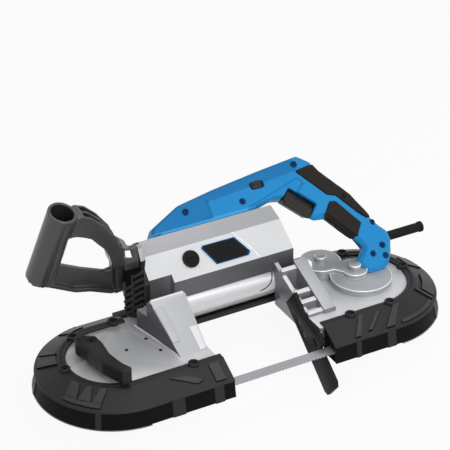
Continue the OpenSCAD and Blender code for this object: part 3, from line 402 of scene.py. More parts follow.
class Pattern:
    """A geometry node tree with named inputs."""

    def __init__(self, name, **inputs):
        self.tree = bpy.data.node_groups.new(name, "GeometryNodeTree")
        face = self.tree.interface
        face.new_socket("Geometry", in_out="INPUT", socket_type="NodeSocketGeometry")
        self.names = {}
        for label, kind in inputs.items():
            self.names[label] = face.new_socket(label, in_out="INPUT", socket_type="NodeSocket" + kind).identifier
        face.new_socket("Geometry", in_out="OUTPUT", socket_type="NodeSocketGeometry")
        self.start = self.tree.nodes.new("NodeGroupInput").outputs

    def node(self, kind, settings=None, **sockets):
        """Adds a node with its settings, then its sockets' values or links."""
        made = self.tree.nodes.new(kind)
        for key, value in (settings or {}).items():
            setattr(made, key, value)
        for key, value in sockets.items():
            socket = made.inputs[key.replace("_", " ")]
            if isinstance(value, bpy.types.NodeSocket):
                self.tree.links.new(value, socket)
            else:
                socket.default_value = value
        return made.outputs

    def end(self, geometry):
        """Every pattern ends as plain mesh with its finish."""
        real = self.node("GeometryNodeRealizeInstances", Geometry=geometry)["Geometry"]
        done = self.node("GeometryNodeSetMaterial", Geometry=real, Material=self.start["finish"])["Geometry"]
        self.tree.links.new(done, self.tree.nodes.new("NodeGroupOutput").inputs["Geometry"])

    def make(self, name, data, **values):
        """The mesh that the pattern makes of a line or of points."""
        work = bpy.data.objects.new(name, data)
        run = work.modifiers.new("pattern", "NODES")
        run.node_group = self.tree
        for label, value in values.items():
            run[self.names[label]] = value
        return settled(work)


def bead_pattern():
    """A round bead along each line."""
    p = Pattern("bead", radius="Float", finish="Material")
    line = p.node("GeometryNodeMeshToCurve", Mesh=p.start["Geometry"])["Curve"]
    ring = p.node("GeometryNodeCurvePrimitiveCircle", Resolution=10, Radius=p.start["radius"])["Curve"]
    p.end(p.node("GeometryNodeCurveToMesh", Curve=line, Profile_Curve=ring, Fill_Caps=True)["Mesh"])
    return p


def seat_pattern():
    """One template set down at each point, turned the point's way."""
    p = Pattern("seats", template="Object", finish="Material")
    way = p.node("GeometryNodeInputNamedAttribute", {"data_type": "FLOAT_VECTOR"}, Name="turn")["Attribute"]
    turn = p.node("FunctionNodeEulerToRotation", Euler=way)["Rotation"]
    shape = p.node("GeometryNodeObjectInfo", Object=p.start["template"])["Geometry"]
    copies = p.node("GeometryNodeInstanceOnPoints", Points=p.start["Geometry"], Instance=shape, Rotation=turn)
    p.end(copies["Instances"])
    return p


bead_lines = bead_pattern()
seats = seat_pattern()


def bead(name, lines, radius, finish, slot, body=ROOT):
    """A bead along lines of points."""
    data = bpy.data.meshes.new(name)
    points, edges = [], []
    for line in lines:
        edges += [(len(points) + i, len(points) + i + 1) for i in range(len(line) - 1)]
        points += line
    data.from_pydata(points, edges, [])
    return placed(name, bead_lines.make(name, data, radius=radius * MM, finish=finish), finish, body, slot, sharp=60)


def set_down(name, template, places, finish, slot, body, *nodes):
    """Copies of a template, each at its place and with its axis or its whole turn."""
    data = bpy.data.meshes.new(name)
    data.from_pydata([p for p, _ in places], [], [])
    way = data.attributes.new("turn", "FLOAT_VECTOR", "POINT")
    for i, (_, axis) in enumerate(places):
        turn = axis.to_track_quat("Z", "Y").to_euler() if isinstance(axis, Vector) else axis.to_euler()
        way.data[i].vector = turn
    result = seats.make(name, data, template=template, finish=finish)
    return placed(name, result, finish, body, slot, *nodes)


def screw_template(name, shank_r, shank_l, head_r, head_h, socket_r):
    """A button-head screw with a six-sided socket, its head's seat at zero."""
    mesh = bmesh.new()
    section = [(shank_r, -shank_l), (shank_r, 0), (head_r - 0.2, 0), (head_r, 0.2), (head_r, head_h * 0.55),
               (head_r * 0.8, head_h), (socket_r + 0.35, head_h)]
    steps = 24
    rings = []
    for k in range(steps):
        a = 2 * math.pi * k / steps
        six = socket_r / math.cos((a + math.pi / 6) % (math.pi / 3) - math.pi / 6)
        rings.append([mesh.verts.new(Vector((r * math.cos(a), r * math.sin(a), z)) * MM)
                      for r, z in section + [(six, head_h - 0.15), (six, head_h * 0.35)]])
    for k in range(steps):
        a, b = rings[k], rings[(k + 1) % steps]
        for i in range(len(a) - 1):
            mesh.faces.new((a[i], b[i], b[i + 1], a[i + 1]))
    mesh.faces.new([r[-1] for r in rings])
    mesh.faces.new([r[0] for r in reversed(rings)])
    outward(mesh)
    data = bpy.data.meshes.new(name)
    mesh.to_mesh(data)
    mesh.free()
    return bpy.data.objects.new(name, data)


# Wheel guards: one section carried along the front run, round the wheel and along the back run

LIP, PLATE_R, EDGE_R, WALL_R, FOOT_Z = 52.5, 61.0, 87.0, 91.0, -32.2
# Height of the guards' rims, and how steeply their slopes fall and their walls lean out
RIM_Z, FALL, LEAN = 2.5, 14 / 26, -4 / 20.7
PANEL_DEPTH, PANEL_STEP = 1.3, 0.7
# Millimetres along the wall for each degree round the wheel, and for the half turn
ARC = 1.309
TURN = 180 * ARC


def band(value, low, high):
    """1 between low and high, falling to 0 over a short step outside them."""
    return max(0.0, min(1.0, (value - low) / PANEL_STEP + 1, (high - value) / PANEL_STEP + 1))


# Let-in panels of the guards' walls: millimetres along the wall, from the front run's end at the wheel
IDLER_PANELS = [(-101, -87.2), (-75, -40.5), (-24.5, 46), (52, 132), (138, 166), (172, 226)]
DRIVE_PANELS = [(-87, -60), (-53, -19.6), (-7.6, 54), (60, 94), (100, 140), (146, 196), (202, 230)]


def arc_strip(s0, s1, r0, r1, count=8):
    """Corners of a patch that follows the guard round."""
    steps = [s0 + (s1 - s0) * i / count for i in range(count + 1)]
    return [(s, r0) for s in steps] + [(s, r1) for s in reversed(steps)]


# Raised patches and ribs on the slopes: corners along and across, and height
IDLER_RIBS = [
    ([(42, 63), (51, 63), (57, 79.2), (47, 79.2)], 1.8), ([(62, 63), (69, 63), (72.5, 79.2), (58, 79.2)], 1.8),
    ([(79, 63), (93, 63), (88, 79.2), (73.5, 79.2)], 1.8), (arc_strip(47, 88, 79, 84, 6), 1.8),
    ([(154, 63), (160, 63), (172, 84), (165, 84)], 2.6), ([(132, 63), (138.5, 63), (152, 84), (145, 84)], 2.6),
    ([(138.5, 63), (154, 63), (165, 84), (152, 84)], 1.0), ([(-32, 66), (-60, 80), (-68, 77.8), (-52, 68.6)], 1.4),
    (arc_strip(206, 228, 65, 83, 4), 1.8), (arc_strip(-92, -80, 64, 84, 1), 1.6)]
DRIVE_RIBS = [
    ([(-43, 63), (-37, 63), (-52.5, 85), (-59.5, 85)], 2.2), ([(-21, 65), (-15.5, 65), (-36, 82), (-41.5, 82)], 2.2),
    ([(3, 63), (14, 63), (-7.8, 85), (-19.4, 85)], 2.2), ([(54.5, 63), (58.5, 63), (61, 84), (57, 84)], 2.2),
    (arc_strip(2, 54, 80.5, 84.5), 1.5), (arc_strip(63, 98, 70, 84.5, 6), 2.3), (arc_strip(118, 142, 65, 83, 4), 1.8)]


def slope(r):
    """Height of a guard's slope at a distance from the axle line."""
    return RIM_Z - (r - PLATE_R) * FALL


def guard_spot(side, s, r, z):
    """A point of a guard by the way along it, the distance from the axle line and the height."""
    if s <= 0:
        x, y = side * s, -r
    elif s < TURN:
        a = -math.pi / 2 + side * math.radians(s / ARC)
        x, y = r * math.cos(a), r * math.sin(a)
    else:
        x, y = -side * (s - TURN), r
    return at(side * WHEEL_X + x, y, z)


def slope_rib(mesh, side, corners, height):
    """A raised patch with drawn-in sides that grows out of the slope; its sides are in painted shade and its top in
    painted highlight.
    """
    count = len(corners)
    ms = sum(s for s, _ in corners) / count
    mr = sum(r for _, r in corners) / count
    low = [mesh.verts.new(guard_spot(side, s, r, slope(r) - 0.8)) for s, r in corners]
    high = []
    for s, r in corners:
        back = 0.5 / max(1.0, math.hypot(s - ms, r - mr))
        s, r = s + (ms - s) * back, r + (mr - r) * back
        high.append(mesh.verts.new(guard_spot(side, s, r, slope(r) + height)))
    faces = [mesh.faces.new(low), mesh.faces.new(high)]
    for i in range(count):
        j = (i + 1) % count
        # Sides in the darker copy of the black: painted shade.
        mesh.faces.new((low[i], low[j], high[j], high[i])).material_index = 1
    # Top in the lighter copy of the black: painted highlight.
    faces[1].material_index = 2
    bmesh.ops.triangulate(mesh, faces=faces)


def guard_piece(node, side, front, back, panels, ribs, bosses):
    """A guard from its section, its ribs, its end wall and its bosses, with painted shade on its let-in panels, its
    ribs' sides and its end wall, and painted highlight on its ribs' tops.
    """
    def let_in(s):
        return PANEL_DEPTH * max(band(s, low, high) for low, high in panels)

    spots = {float(-front), 0.0} | {-float(i) for i in range(0, int(front), 2)}
    spots |= {d * ARC for d in range(1, 181)} | {TURN + back * i / 10 for i in range(11)}
    spots |= {edge + d for panel in panels for edge in panel
              for d in (-PANEL_STEP, 0.0, PANEL_STEP) if -front < edge + d}
    known = sorted(spots)
    wall = range(16, 21)
    mesh = bmesh.new()
    rings = []
    for s in known:
        cut = let_in(s)
        section = [(LIP, 0), (LIP, 1.9), (LIP + 0.6, RIM_Z), (56.6, RIM_Z), (57.2, 1.8), (58.2, 1.8), (58.8, RIM_Z),
                   (PLATE_R, RIM_Z)]
        section += [(r, slope(r)) for r in (64, 70, 76, 82, 85.6)]
        section += [(86.5, -11.1), (87.2, -12.0), (87.4, -12.9), (87.5 - cut, -13.7)]
        section += [(EDGE_R + (z + 11.5) * LEAN - cut, z) for z in (-18, -23, -28, -31.6)]
        section += [(WALL_R - 0.5 - cut, FOOT_Z), (WALL_R - 2.6, FOOT_Z), (84.6, -13), (62, -2.4), (62, 0)]
        rings.append([mesh.verts.new(guard_spot(side, s, r, z)) for r, z in section])
    for a, b, s, t in zip(rings, rings[1:], known, known[1:]):
        # The let-in panels' walls take the darker copy of the black: painted shade.
        dark = min(let_in(s), let_in(t)) > PANEL_DEPTH - 0.1
        for i in range(len(a)):
            j = (i + 1) % len(a)
            face = mesh.faces.new((a[i], b[i], b[j], a[j]))
            face.material_index = 1 if dark and i in wall else 0
    mesh.faces.new(rings[0])
    mesh.faces.new(rings[-1][::-1])
    for corners, height in ribs:
        slope_rib(mesh, side, corners, height)
    # The end wall, in the darker copy of the black: painted shade.
    outline = [(62, -1.4), (84.6, -12.6), (86, -16.4), (70.5, -16.4), (70.5, -22.6), (88, -22.6), (88.6, -32),
               (62, -32)]
    prism(mesh, [guard_spot(side, 0.3 - front, r, z) for r, z in outline], Vector((side * 2.4, 0, 0)) * MM, 1)
    ring = [(6.3, -1.6), (6.3, 4.3), (5.9, 4.85), (5.4, 5), (4.6, 5), (4.1, 4.8), (3.9, 4.3), (3.9, 1.8), (2.1, 1.8),
            (2.1, -1.6)]
    for x, y in bosses:
        turned(mesh, ring, at(side * WHEEL_X + x, y, 0))
    piece(node + "_finished", outward(mesh), [black, black_painted_shade, black_painted_highlight], ROOT, "black_plastic", node, sharp=30)


# The guards' screw bosses, from the wheels' middles
BOSS = 57.0
BACK_BOSS = math.radians(117)
idler_bosses = [(-BOSS - 1.5, 0), (BOSS * math.cos(BACK_BOSS), BOSS * math.sin(BACK_BOSS)), (26, BOSS),
                (WHEEL_X - 90, -BOSS)]
drive_bosses = [(-49.5, -BOSS), (2.5, -BOSS), (BOSS, 1), (10, BOSS)]
guard_piece("idler_guard", -1, 100.5, 38.5, IDLER_PANELS, IDLER_RIBS, idler_bosses)
guard_piece("drive_guard", 1, 86.5, 6.5, DRIVE_PANELS, DRIVE_RIBS, drive_bosses)


# Castings

# Finishes of the frame's faces, where its bridge stands and where its ribs do. The frame is one silver casting; its
# faces take lighter and darker copies of that silver by the way they look, which is painted light and shade.
PLATE, DARK, RAMP, RIB, TUBE, GREY = range(6)
BRIDGE_X, BRIDGE_Y, BRIDGE_Z = (-98, 103), 37, -15.5
RIBS_X = (66, 84)


def frame_zone(p, n):
    """Finish of a face of the frame, by its place and the way it faces: painted light and shade."""
    on_bridge = BRIDGE_X[0] < p.x < BRIDGE_X[1] and p.y > BRIDGE_Y and p.z > BRIDGE_Z
    if on_bridge and n.y < 0.3 and abs(n.x) < 0.5:
        return TUBE
    if n.z > 0.4 and n.y < -0.3:
        return RAMP if p.x < 0 or p.x > RIBS_X[1] else RIB
    if n.z > 0.4:
        return RIB if RIBS_X[0] < p.x < RIBS_X[1] and p.z > 0.5 else PLATE
    if n.x < -0.5:
        return GREY if p.x > 60 else DARK
    if n.x > 0.5:
        return GREY
    return DARK if p.x < 0 else GREY


# Finishes of the motor's faces, and the heights where its shoulder and its slanted face start. The shoulder, the front
# and the end take darker copies of the silver: painted shade.
SLANT, SHOULDER, FRONT, END = range(4)
SHOULDER_Z, SLANT_Z = 66, 30
# The motor's right end: how far it is drawn in by height, where its end wall starts and where its bore starts
END_DRAWN = [(38, 4.6), (67, 8.0), (86, 18.0)]
END_WALL_X, BORE_X = 93.2, 88.2


def motor_zone(p, n):
    """Finish of a face of the motor, by its place and the way it faces: the slanted face is plain silver, the rest
    painted shade.
    """
    if abs(n.x) > 0.6:
        return END
    if n.y < -0.5 and p.z > SHOULDER_Z:
        return SHOULDER
    if n.y < -0.55 and n.z > 0.55:
        return SLANT
    if n.y < -0.75 or (n.z > 0.5 and p.z < SLANT_Z):
        return FRONT
    return SHOULDER if n.z > -0.2 else FRONT


def motor_form(p):
    """Draws the motor's right end in, more towards the top of its shoulder, and shortens the bore inside it."""
    if p.x > END_WALL_X:
        return Vector((p.x - read_off(p.z, END_DRAWN), p.y, p.z))
    return Vector((BORE_X + (p.x - BORE_X) * 0.2, p.y, p.z)) if p.x > BORE_X else p


rounded("main_frame", 0.7, [plate_painted_falloff, painted_shade_wall, ramp_painted_shade, rib_painted_highlight, tube_painted_highlight, painted_grey_shade_wall],
        "cast_aluminium", zones=frame_zone)
rounded("motor_housing", 1.4, [silver, shoulder, front_painted_shade, painted_grey_shade_wall], "cast_aluminium", steps=3, zones=motor_zone,
        trim=motor_form)
# The gear cover's rounded edges take the near-white copy of the metal: painted highlight.
rounded("gear_cover", 1.9, [gear_grey, painted_highlight_edge], "cast_aluminium", steps=3, edge_finish=1)


def top_rims(node):
    """The lines along which a node's flat tops meet its walls."""
    mesh = solid_of(node)
    mesh.normal_update()
    next_to = {}
    for edge in mesh.edges:
        if len(edge.link_faces) == 2 and edge.is_convex:
            low, high = sorted(abs(face.normal.z) for face in edge.link_faces)
            if low < 0.4 and high > 0.9 and max(face.normal.z for face in edge.link_faces) > 0.9:
                a, b = edge.verts
                next_to.setdefault(a, []).append(b)
                next_to.setdefault(b, []).append(a)
    lines = []
    while next_to:
        spot = min(next_to, key=lambda v: (len(next_to[v]), v.index))
        line = [spot.co.copy()]
        while next_to.get(spot):
            onward = next_to[spot].pop()
            next_to[onward].remove(spot)
            if not next_to[spot]:
                del next_to[spot]
            spot = onward
            line.append(spot.co.copy())
        next_to.pop(spot, None)
        if len(line) > 1:
            lines.append(line)
    mesh.free()
    return lines


# Beads along the gear cover's top rims follow: painted highlight.
SUNK_RIM = Vector((0, 0, 0.45 * MM))
bead("gear_cover_rims", [[spot - SUNK_RIM for spot in line] for line in top_rims("gear_cover")], 0.8, painted_highlight_edge,
     "cast_aluminium")
# The caps' rounded edges: painted highlight.
rounded("gear_cover_caps", 0.6, [gear_grey, painted_highlight_edge], "bright_cap", edge_finish=1)


def on_slant(x, w, lift=0.0):
    """A point on the motor's slanted face: w up the slope from its middle."""
    return at(x, 53 + (w - lift) * HALF, 55 + (w + lift) * HALF)


def badge():
    """Bare six-sided plate with a pale edge and a navy border."""
    corners = [(-19.8, 10.6), (-17.4, 13.6), (25.4, 13.2), (39.2, -8.2), (35.6, -12.4), (-7.4, -12.6)]
    middle = Vector((9.6, 0.8))
    mesh = bmesh.new()
    for grow, low, high, index in ((1.0, 0.0, 0.5, 1), (0.945, 0.3, 0.72, 2), (0.86, 0.5, 0.8, 0)):
        spots = [middle + (Vector(c) - middle) * grow for c in corners]
        prism(mesh, [on_slant(p.x, p.y, low) for p in spots][::-1],
              (on_slant(0, 0, high) - on_slant(0, 0, low)), index)
    piece("badge_plate_finished", outward(mesh), [black_smooth, pale_edge, navy], ROOT, "black_plastic", "badge_plate")


badge()
# Beads on the motor's slanted face: the step line in painted highlight, the fine line in plain silver.
bead("motor_step_line", [[on_slant(20.5, 26, -0.1), on_slant(27.8, 13.5, -0.1), on_slant(42.7, -8.2, -0.1),
                          on_slant(45.6, -16.5, -0.1)]], 0.75, painted_highlight_edge, "cast_aluminium")
bead("motor_fine_line", [[on_slant(-25.5, 0.5, -0.25), on_slant(-28.2, -4, -0.25), on_slant(-26.5, -17, -0.25)]], 0.45,
     silver, "cast_aluminium")


TUBE_Y, TUBE_Z, TUBE_R = 60, 2, 22.5


def on_tube(x, z):
    """A point on the bridge's round front."""
    return at(x, TUBE_Y - math.sqrt(TUBE_R ** 2 - (z - TUBE_Z) ** 2), z)


bead("bridge_joint", [[on_tube(63.5, 18), on_tube(62.5, 13), on_tube(60.5, 8), on_tube(57.5, 4), on_tube(53, 1),
                       on_tube(46, -1)]], 0.7, dark_steel, "steel")


# The left leg's ramp: where it starts, how far it runs and how high it rises
RAMP_Y, RAMP_RUN, RAMP_RISE = -36, 46, 38


def on_ramp(x, y, lift):
    """A point on the left leg's ramp, or lifted off it."""
    n = Vector((0, -RAMP_RISE, RAMP_RUN)).normalized() * lift
    return at(x, y + n.y, (y - RAMP_Y) * RAMP_RISE / RAMP_RUN + n.z)


def ramp_strips():
    """Raised strip with a round corner along the ramp's left side, in the ramp's painted shade, and the pad at its
    right foot in painted highlight.
    """
    mesh = bmesh.new()
    up = on_ramp(0, 0, 1) - on_ramp(0, 0, 0)
    strip = [(-102.9, 9.6), (-91.9, 9.6), (-86.6, -19.6), (-86.9, -21.6), (-88.4, -22.8), (-97.0, -22.8)]
    pad = [(-72.8, -13.6), (-62.9, -13.6), (-62.9, -34.6), (-70.2, -34.6)]
    prism(mesh, [on_ramp(x, y, -0.2) for x, y in strip][::-1], up * 1.3, 0)
    prism(mesh, [on_ramp(x, y, -0.2) for x, y in pad][::-1], up * 0.8, 1)
    outward(mesh)
    piece("ramp_strips", soften(mesh, 0.35, 2), [ramp_painted_shade, rib_painted_highlight], ROOT, "cast_aluminium")


ramp_strips()
# A bead along the leg's seam, in painted highlight.
bead("leg_seam", [[at(-111.0, 43, 0.1), at(-106, 20.6, 0.1), at(-100, -5, 0.1), at(-95.2, -33, 0.1)]], 0.9,
     painted_highlight_edge, "cast_aluminium")


def lug():
    """Round lug beside the sloping rib, in painted highlight."""
    mesh = bmesh.new()
    turned(mesh, [(0.2, 0), (5.6, 0), (6.2, 0.6), (6.2, 3.0), (5.6, 3.6), (3.2, 3.6), (2.6, 3.0), (0.2, 3.0)],
           at(98.6, 23.4, 25.5), Vector((1, 0, 0)))
    piece("rib_lug", outward(mesh), painted_highlight_edge, ROOT, "cast_aluminium")


lug()
# A bead along the leg's lip, in the ribs' painted highlight.
bead("leg_lip", [[at(-102.6, 18.6, 42.2), at(-63.4, 18.6, 42.2)]], 2.0, rib_painted_highlight, "cast_aluminium")


# Mouldings

# The vent's slats: length, width and thickness, the step between them and their lean
SLAT, SLAT_STEP, SLAT_LEAN = (14.5, 3.6, 1.9), 8.2, math.radians(38)


def vent_block():
    """Slanted vent at the end cap's front corner: a well in painted shade behind a spine, a frame and slanting slats,
    which are in painted highlight.
    """
    across = Vector((HALF, -HALF, 0))
    out = Vector((-HALF, -HALF, 0))
    mesh = bmesh.new()
    prism(mesh, [at(x, y, 1.0) for x, y in ((-95.9, 47.6), (-112.2, 63.9), (-95.9, 63.9))],
          Vector((0, 0, 61 * MM)), 1)
    start = at(-95.4, 45.9, 1.0)
    for a0, a1, z0, z1 in ((0, 1.6, 0, 64), (22.6, 24.4, 0, 44), (14.2, 16.0, 0, 55), (0, 24.4, -0.6, 1.4)):
        corners = [start + (-across * a + Vector((0, 0, z))) * MM
                   for a, z in ((a0, z0), (a1, z0), (a1, z1), (a0, z1))]
        prism(mesh, corners, -out * 2.2 * MM, 0)
    outward(mesh)
    piece("vent_block", soften(mesh, 0.25, 1), [black_painted_highlight, black_painted_shade], ROOT, "black_plastic")

    bar = bmesh.new()
    bmesh.ops.create_cube(bar, size=1.0, matrix=Matrix.Diagonal([side * MM for side in SLAT] + [1]))
    soften(bar, 0.4, 1)
    data = bpy.data.meshes.new("slat")
    bar.to_mesh(data)
    bar.free()
    slat = bpy.data.objects.new("slat", data)
    along = across * math.cos(SLAT_LEAN) + Vector((0, 0, 1)) * math.sin(SLAT_LEAN)
    turn = Matrix((along, out.cross(along), out)).transposed()
    places = []
    for middle, low, count in ((7.9, 7.5, 7), (19.3, 5.0, 5)):
        for i in range(count):
            spot = start + (-across * middle + Vector((0, 0, low + i * SLAT_STEP)) - out * 1.1) * MM
            places.append((spot, turn))
    set_down("vent_slats", slat, places, black_painted_highlight, "black_plastic", ROOT)
    bpy.data.objects.remove(slat)


def cap_zone(p, n):
    """The cap is black but for its top corner, which carries the shoulder's silver on, in the shoulder's painted
    shade.
    """
    return 1 if p.z > 74 and p.y < 78 and n.z > 0.3 and abs(n.x) < 0.6 else 0


# Lines in the switch handle's plane, each a start and a way: down the grip's underside, down its back, down the
# fuller lower end of its back, and into the handle from the trigger's finger face
UNDER_LINE = ((139, 79), (0.6, -0.8))
BACK_LINE = ((145.5, 148.8), (0.488, -0.873))
FILL_LINE = ((190.2, 68.5), (0.325, -0.946))
TRIGGER_LINE = ((92.5, 111), (0.731, 0.682))
# Finishes of the switch handle's faces; the lip is a lighter copy of the blue, painted highlight, and the sunk nose
# and crown a darker copy, painted shade
SHELL, SEAT_LIP, SUNK_PAINTED_SHADE, GRIP = range(4)


def handle_zone(p, n):
    """Finish of a face of the switch handle: shell, lip along its seat in painted highlight, sunk nose and crown in
    painted shade, or soft grip.
    """
    u, v = to_handle(p)
    rise, out = to_handle(n)
    along, off = along_line(p.x, u, UNDER_LINE)
    underside = -4 < off < 13 and n.x * 0.8 + rise * 0.6 < -0.35
    near_rim = off < 6.5 and v > 6
    if -1.5 < along < 40 and (underside or near_rim):
        return GRIP
    along = along_line(p.x, u, BACK_LINE)[0]
    if p.x > 140 and 1.5 < along < 88 and n.x * 0.85 + rise * 0.5 > 0.5:
        return GRIP
    if v > 2 and p.x < 62 and u < 115.4:
        return SEAT_LIP
    nose = p.x < 4 and v < 9.2
    crown = 4 < p.x < 124 and u > 133.5 + (p.x - 5) * 0.07
    return SUNK_PAINTED_SHADE if out > 0.3 and (nose or crown) else SHELL


# The tension lever: its pivot, its foot, its cam and the height of its arm
LEVER = Vector((-WHEEL_X - 23, 7, 0))
LEVER_FOOT = LEVER + Vector((8, -61, 0))
LEVER_POSTS = ((LEVER, 7.2), (LEVER_FOOT, 6.4))
CAM_OFFSET, CAM_R = -3, 2.6
ARM_LOW, ARM_HIGH, ARM_DEEPER = 8.5, 15, 1.5
CARRIAGE_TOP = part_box("idler_carriage")[1][2] / MM - SHIFT.z


def lever_form(p):
    """Deepens the lever's arm and keeps its cam within the carriage's window."""
    if p.z < CARRIAGE_TOP + 0.9:
        cam = LEVER + Vector((CAM_OFFSET, 0, p.z))
        away = p - cam
        return cam + away * min(1.0, CAM_R / max(away.length, 0.01))
    beside = min(math.hypot(p.x - post.x, p.y - post.y) - r for post, r in LEVER_POSTS)
    if beside > 0 and ARM_LOW < p.z < ARM_HIGH:
        return Vector((p.x, p.y, ARM_HIGH - (ARM_HIGH - p.z) * ARM_DEEPER))
    return p


# The grip's underside from the trigger to the foot, where its near edge ends, and how deep its drawing in reaches
GRIP_UNDERSIDE = [Vector(c) for c in ((117, 88), (124, 81), (139, 79), (154, 58.5), (163, 47), (166, 37), (162, 28),
                                      (155, 18), (166, 2))]
NEAR_EDGE, UNDERSIDE_DEPTH, TRIGGER_DEPTH = 5.5, 18, 13
# Which way the grip's underside is drawn in
GRIP_WAY = (0.93, 0.37)
# The heel's hollow: its middle, how wide it is and how it moves the heel
HEEL_X, HEEL_U, HEEL_WIDE = 166, 37, 10
HEEL_MOVE = (4.4, -1.6)
# The fuller lower end of the grip's back: how far out, how far up and down, and how deep
FILL, FILL_UP, FILL_DOWN, FILL_DEPTH = 3.7, 22, 8, 9


def drawn(p, weight, most, way):
    """Draws a handle piece in towards its far side, by half of the distance from the near edge."""
    u, v = to_handle(p)
    if v > NEAR_EDGE:
        return p
    give = min((NEAR_EDGE - v) * 0.5, most) * weight(p.x, u)
    x, u = p.x + way[0] * give, u + way[1] * give
    return Vector((x, (u - v) * HALF, (u + v) * HALF))


def near_underside(x, u):
    """1 on the grip's underside, falling to 0 inside the handle."""
    if x < 100 or x > 190:
        return 0.0
    spot = Vector((x, u))
    away = UNDERSIDE_DEPTH
    for a, b in zip(GRIP_UNDERSIDE, GRIP_UNDERSIDE[1:]):
        t = clamped((spot - a).dot(b - a) / (b - a).length_squared)
        away = min(away, (spot - a - (b - a) * t).length)
    return 1 - away / UNDERSIDE_DEPTH


def near_finger(x, u):
    """1 on the trigger's finger face, falling to 0 at its back."""
    return clamped(1 - along_line(x, u, TRIGGER_LINE)[0] / TRIGGER_DEPTH)


def grip_form(p):
    """The handle's underside drawn in, its heel hollowed and the lower end of its back filled out."""
    u = to_handle(p)[0]
    hollow = math.exp(-((p.x - HEEL_X) ** 2 + (u - HEEL_U) ** 2) / HEEL_WIDE ** 2)
    down, out = along_line(p.x, u, FILL_LINE)
    inside = max(-out, 0)
    fill = FILL * math.exp(-(down / (FILL_DOWN if down > 0 else FILL_UP)) ** 2 - (inside / FILL_DEPTH) ** 2)
    way_x, way_u = FILL_LINE[1]
    rise = (way_x * fill + HEEL_MOVE[1] * hollow) * HALF
    return drawn(p, near_underside, 9, GRIP_WAY) + Vector((HEEL_MOVE[0] * hollow - way_u * fill, rise, rise))


def trigger_form(p):
    """The trigger's finger face drawn in along its travel."""
    return drawn(p, near_finger, 11.2, TRIGGER_LINE[1])


# The inner edge of the front handle's upper arm, by distance along and height up its plane, and where it is lifted
ARM_INNER = [(-196, 104), (-178, 101), (-158, 92), (-140, 72), (-132, 57), (-126, 38)]
LIFT, LIFT_X, LIFT_WIDE, LIFT_DEPTH = 6, -174, 24, 17


def arm_form(p):
    """Lifts the inner edge of the front handle's upper arm beside its grip."""
    if not ARM_INNER[0][0] < p.x < ARM_INNER[-1][0]:
        return p
    c, s = math.cos(GRIP_TILT), math.sin(GRIP_TILT)
    away = abs(c * (p.y - GRIP_Y) + s * (p.z - GRIP_Z) - read_off(p.x, ARM_INNER))
    lift = LIFT * math.exp(-((p.x - LIFT_X) / LIFT_WIDE) ** 2) * max(0.0, 1 - away / LIFT_DEPTH)
    return p + Vector((0, c * lift, s * lift))


vent_block()
rounded("motor_end_cap", 0.45, [black, shoulder], "black_plastic", zones=cap_zone)
rounded("brush_caps", 0.5, black_smooth, "black_plastic")
rounded("rear_guard", 0.5, black, "black_plastic")
flowed("handle_shells", ["handle_shell_near", "handle_shell_far"], 0.9, 18, [blue, blue_painted_highlight, blue_painted_shade, soft],
       "blue_plastic", keep=0.45, zones=handle_zone, trim=grip_form)
flowed("front_handle_finished", ["front_handle"], 0.7, 24, black_satin, "black_plastic", trim=arm_form)
flowed("tension_lever_finished", ["tension_lever"], 0.6, 9, lever_black, "black_plastic", "lever_set", trim=lever_form)
flowed("grip_back_finished", ["grip_back"], 0.7, 6, soft, "soft_grip", trim=grip_form)
flowed("grip_sides_finished", ["grip_sides"], 0.5, 5, soft, "soft_grip", trim=grip_form)
rounded("stop_plate", 0.6, stop_black, "black_plastic")
rounded("trigger", 2.2, warm_black, "black_plastic", "trigger_set", steps=4, trim=trigger_form)
rounded("speed_dial", 0.6, warm_black, "black_plastic", "dial_set")
rounded("cord_sleeve", 0.6, rubber, "tyre_rubber", steps=3)
rounded("guard_trims", 0.25, steel, "steel")


def plug(name, r, dish_r, place, finish, slot):
    """A dished round plug in the switch handle."""
    mesh = bmesh.new()
    section = [(0.1, -3), (r, -3), (r, 0.3), (r - 0.4, 0.5), (dish_r, 0.35), (0.1, 0.3)]
    turned(mesh, section, place, Vector((0, -HALF, HALF)))
    piece(name, outward(mesh), finish, ROOT, slot)


# The foot plug, in the dark blue of painted shade.
plug("foot_plug", 3.8, 2.8, on_handle(192.6, 18.2, 11), dark_blue_painted_shade, "blue_plastic")
plug("grip_plug", 2.7, 1.9, on_handle(169.4, 98.4, 12.2), black_smooth, "black_plastic")


# Screws

up = Vector((0, 0, 1))
long_screw = screw_template("long_screw", 2.0, 6.5, 3.55, 1.6, 1.9)
set_down("guard_screws_finished", long_screw,
         [(at(WHEEL_X + x, y, 1.85), up) for x, y in drive_bosses]
         + [(at(-WHEEL_X + x, y, 1.85), up) for x, y in idler_bosses], dark_steel, "steel", ROOT, "guard_screws")
plate_screw = screw_template("plate_screw", 1.2, 2.0, 2.1, 0.5, 1.0)
set_down("plate_screws", plate_screw, [(at(x, y, 0.02), up) for x, y in ((-140, 4), (-111.8, 13.2), (-107.6, -13.7))],
         dark_steel, "steel", ROOT)
bpy.data.objects.remove(long_screw)
bpy.data.objects.remove(plate_screw)


# Pieces that keep the shape of their solids

# The handle's screws take the dark blue of painted shade.
for name, finish in {
        "handle_screws": dark_blue_painted_shade, "switch_body": black_smooth, "front_handle_screws": dark_steel,
        "stop_plate_screws": dark_steel, "blade": blade_steel, "drive_wheel": silver, "drive_tyre": rubber,
        "idler_wheel": silver, "idler_tyre": rubber, "drive_shaft": steel, "drive_bearings": steel,
        "idler_axle": steel, "idler_bearings": steel, "idler_carriage": steel, "lever_screw": dark_steel,
        "idler_guide_bracket": steel, "drive_guide_bracket": steel, "armature": iron, "stator": iron,
        "motor_bearings": steel, "drive_gear": steel, "pinion_shaft": steel}.items():
    dress(name, finish)
for end in ("idler", "drive"):
    for roller in ("upper", "lower", "back"):
        dress(f"{end}_guide_{roller}_roller", steel)


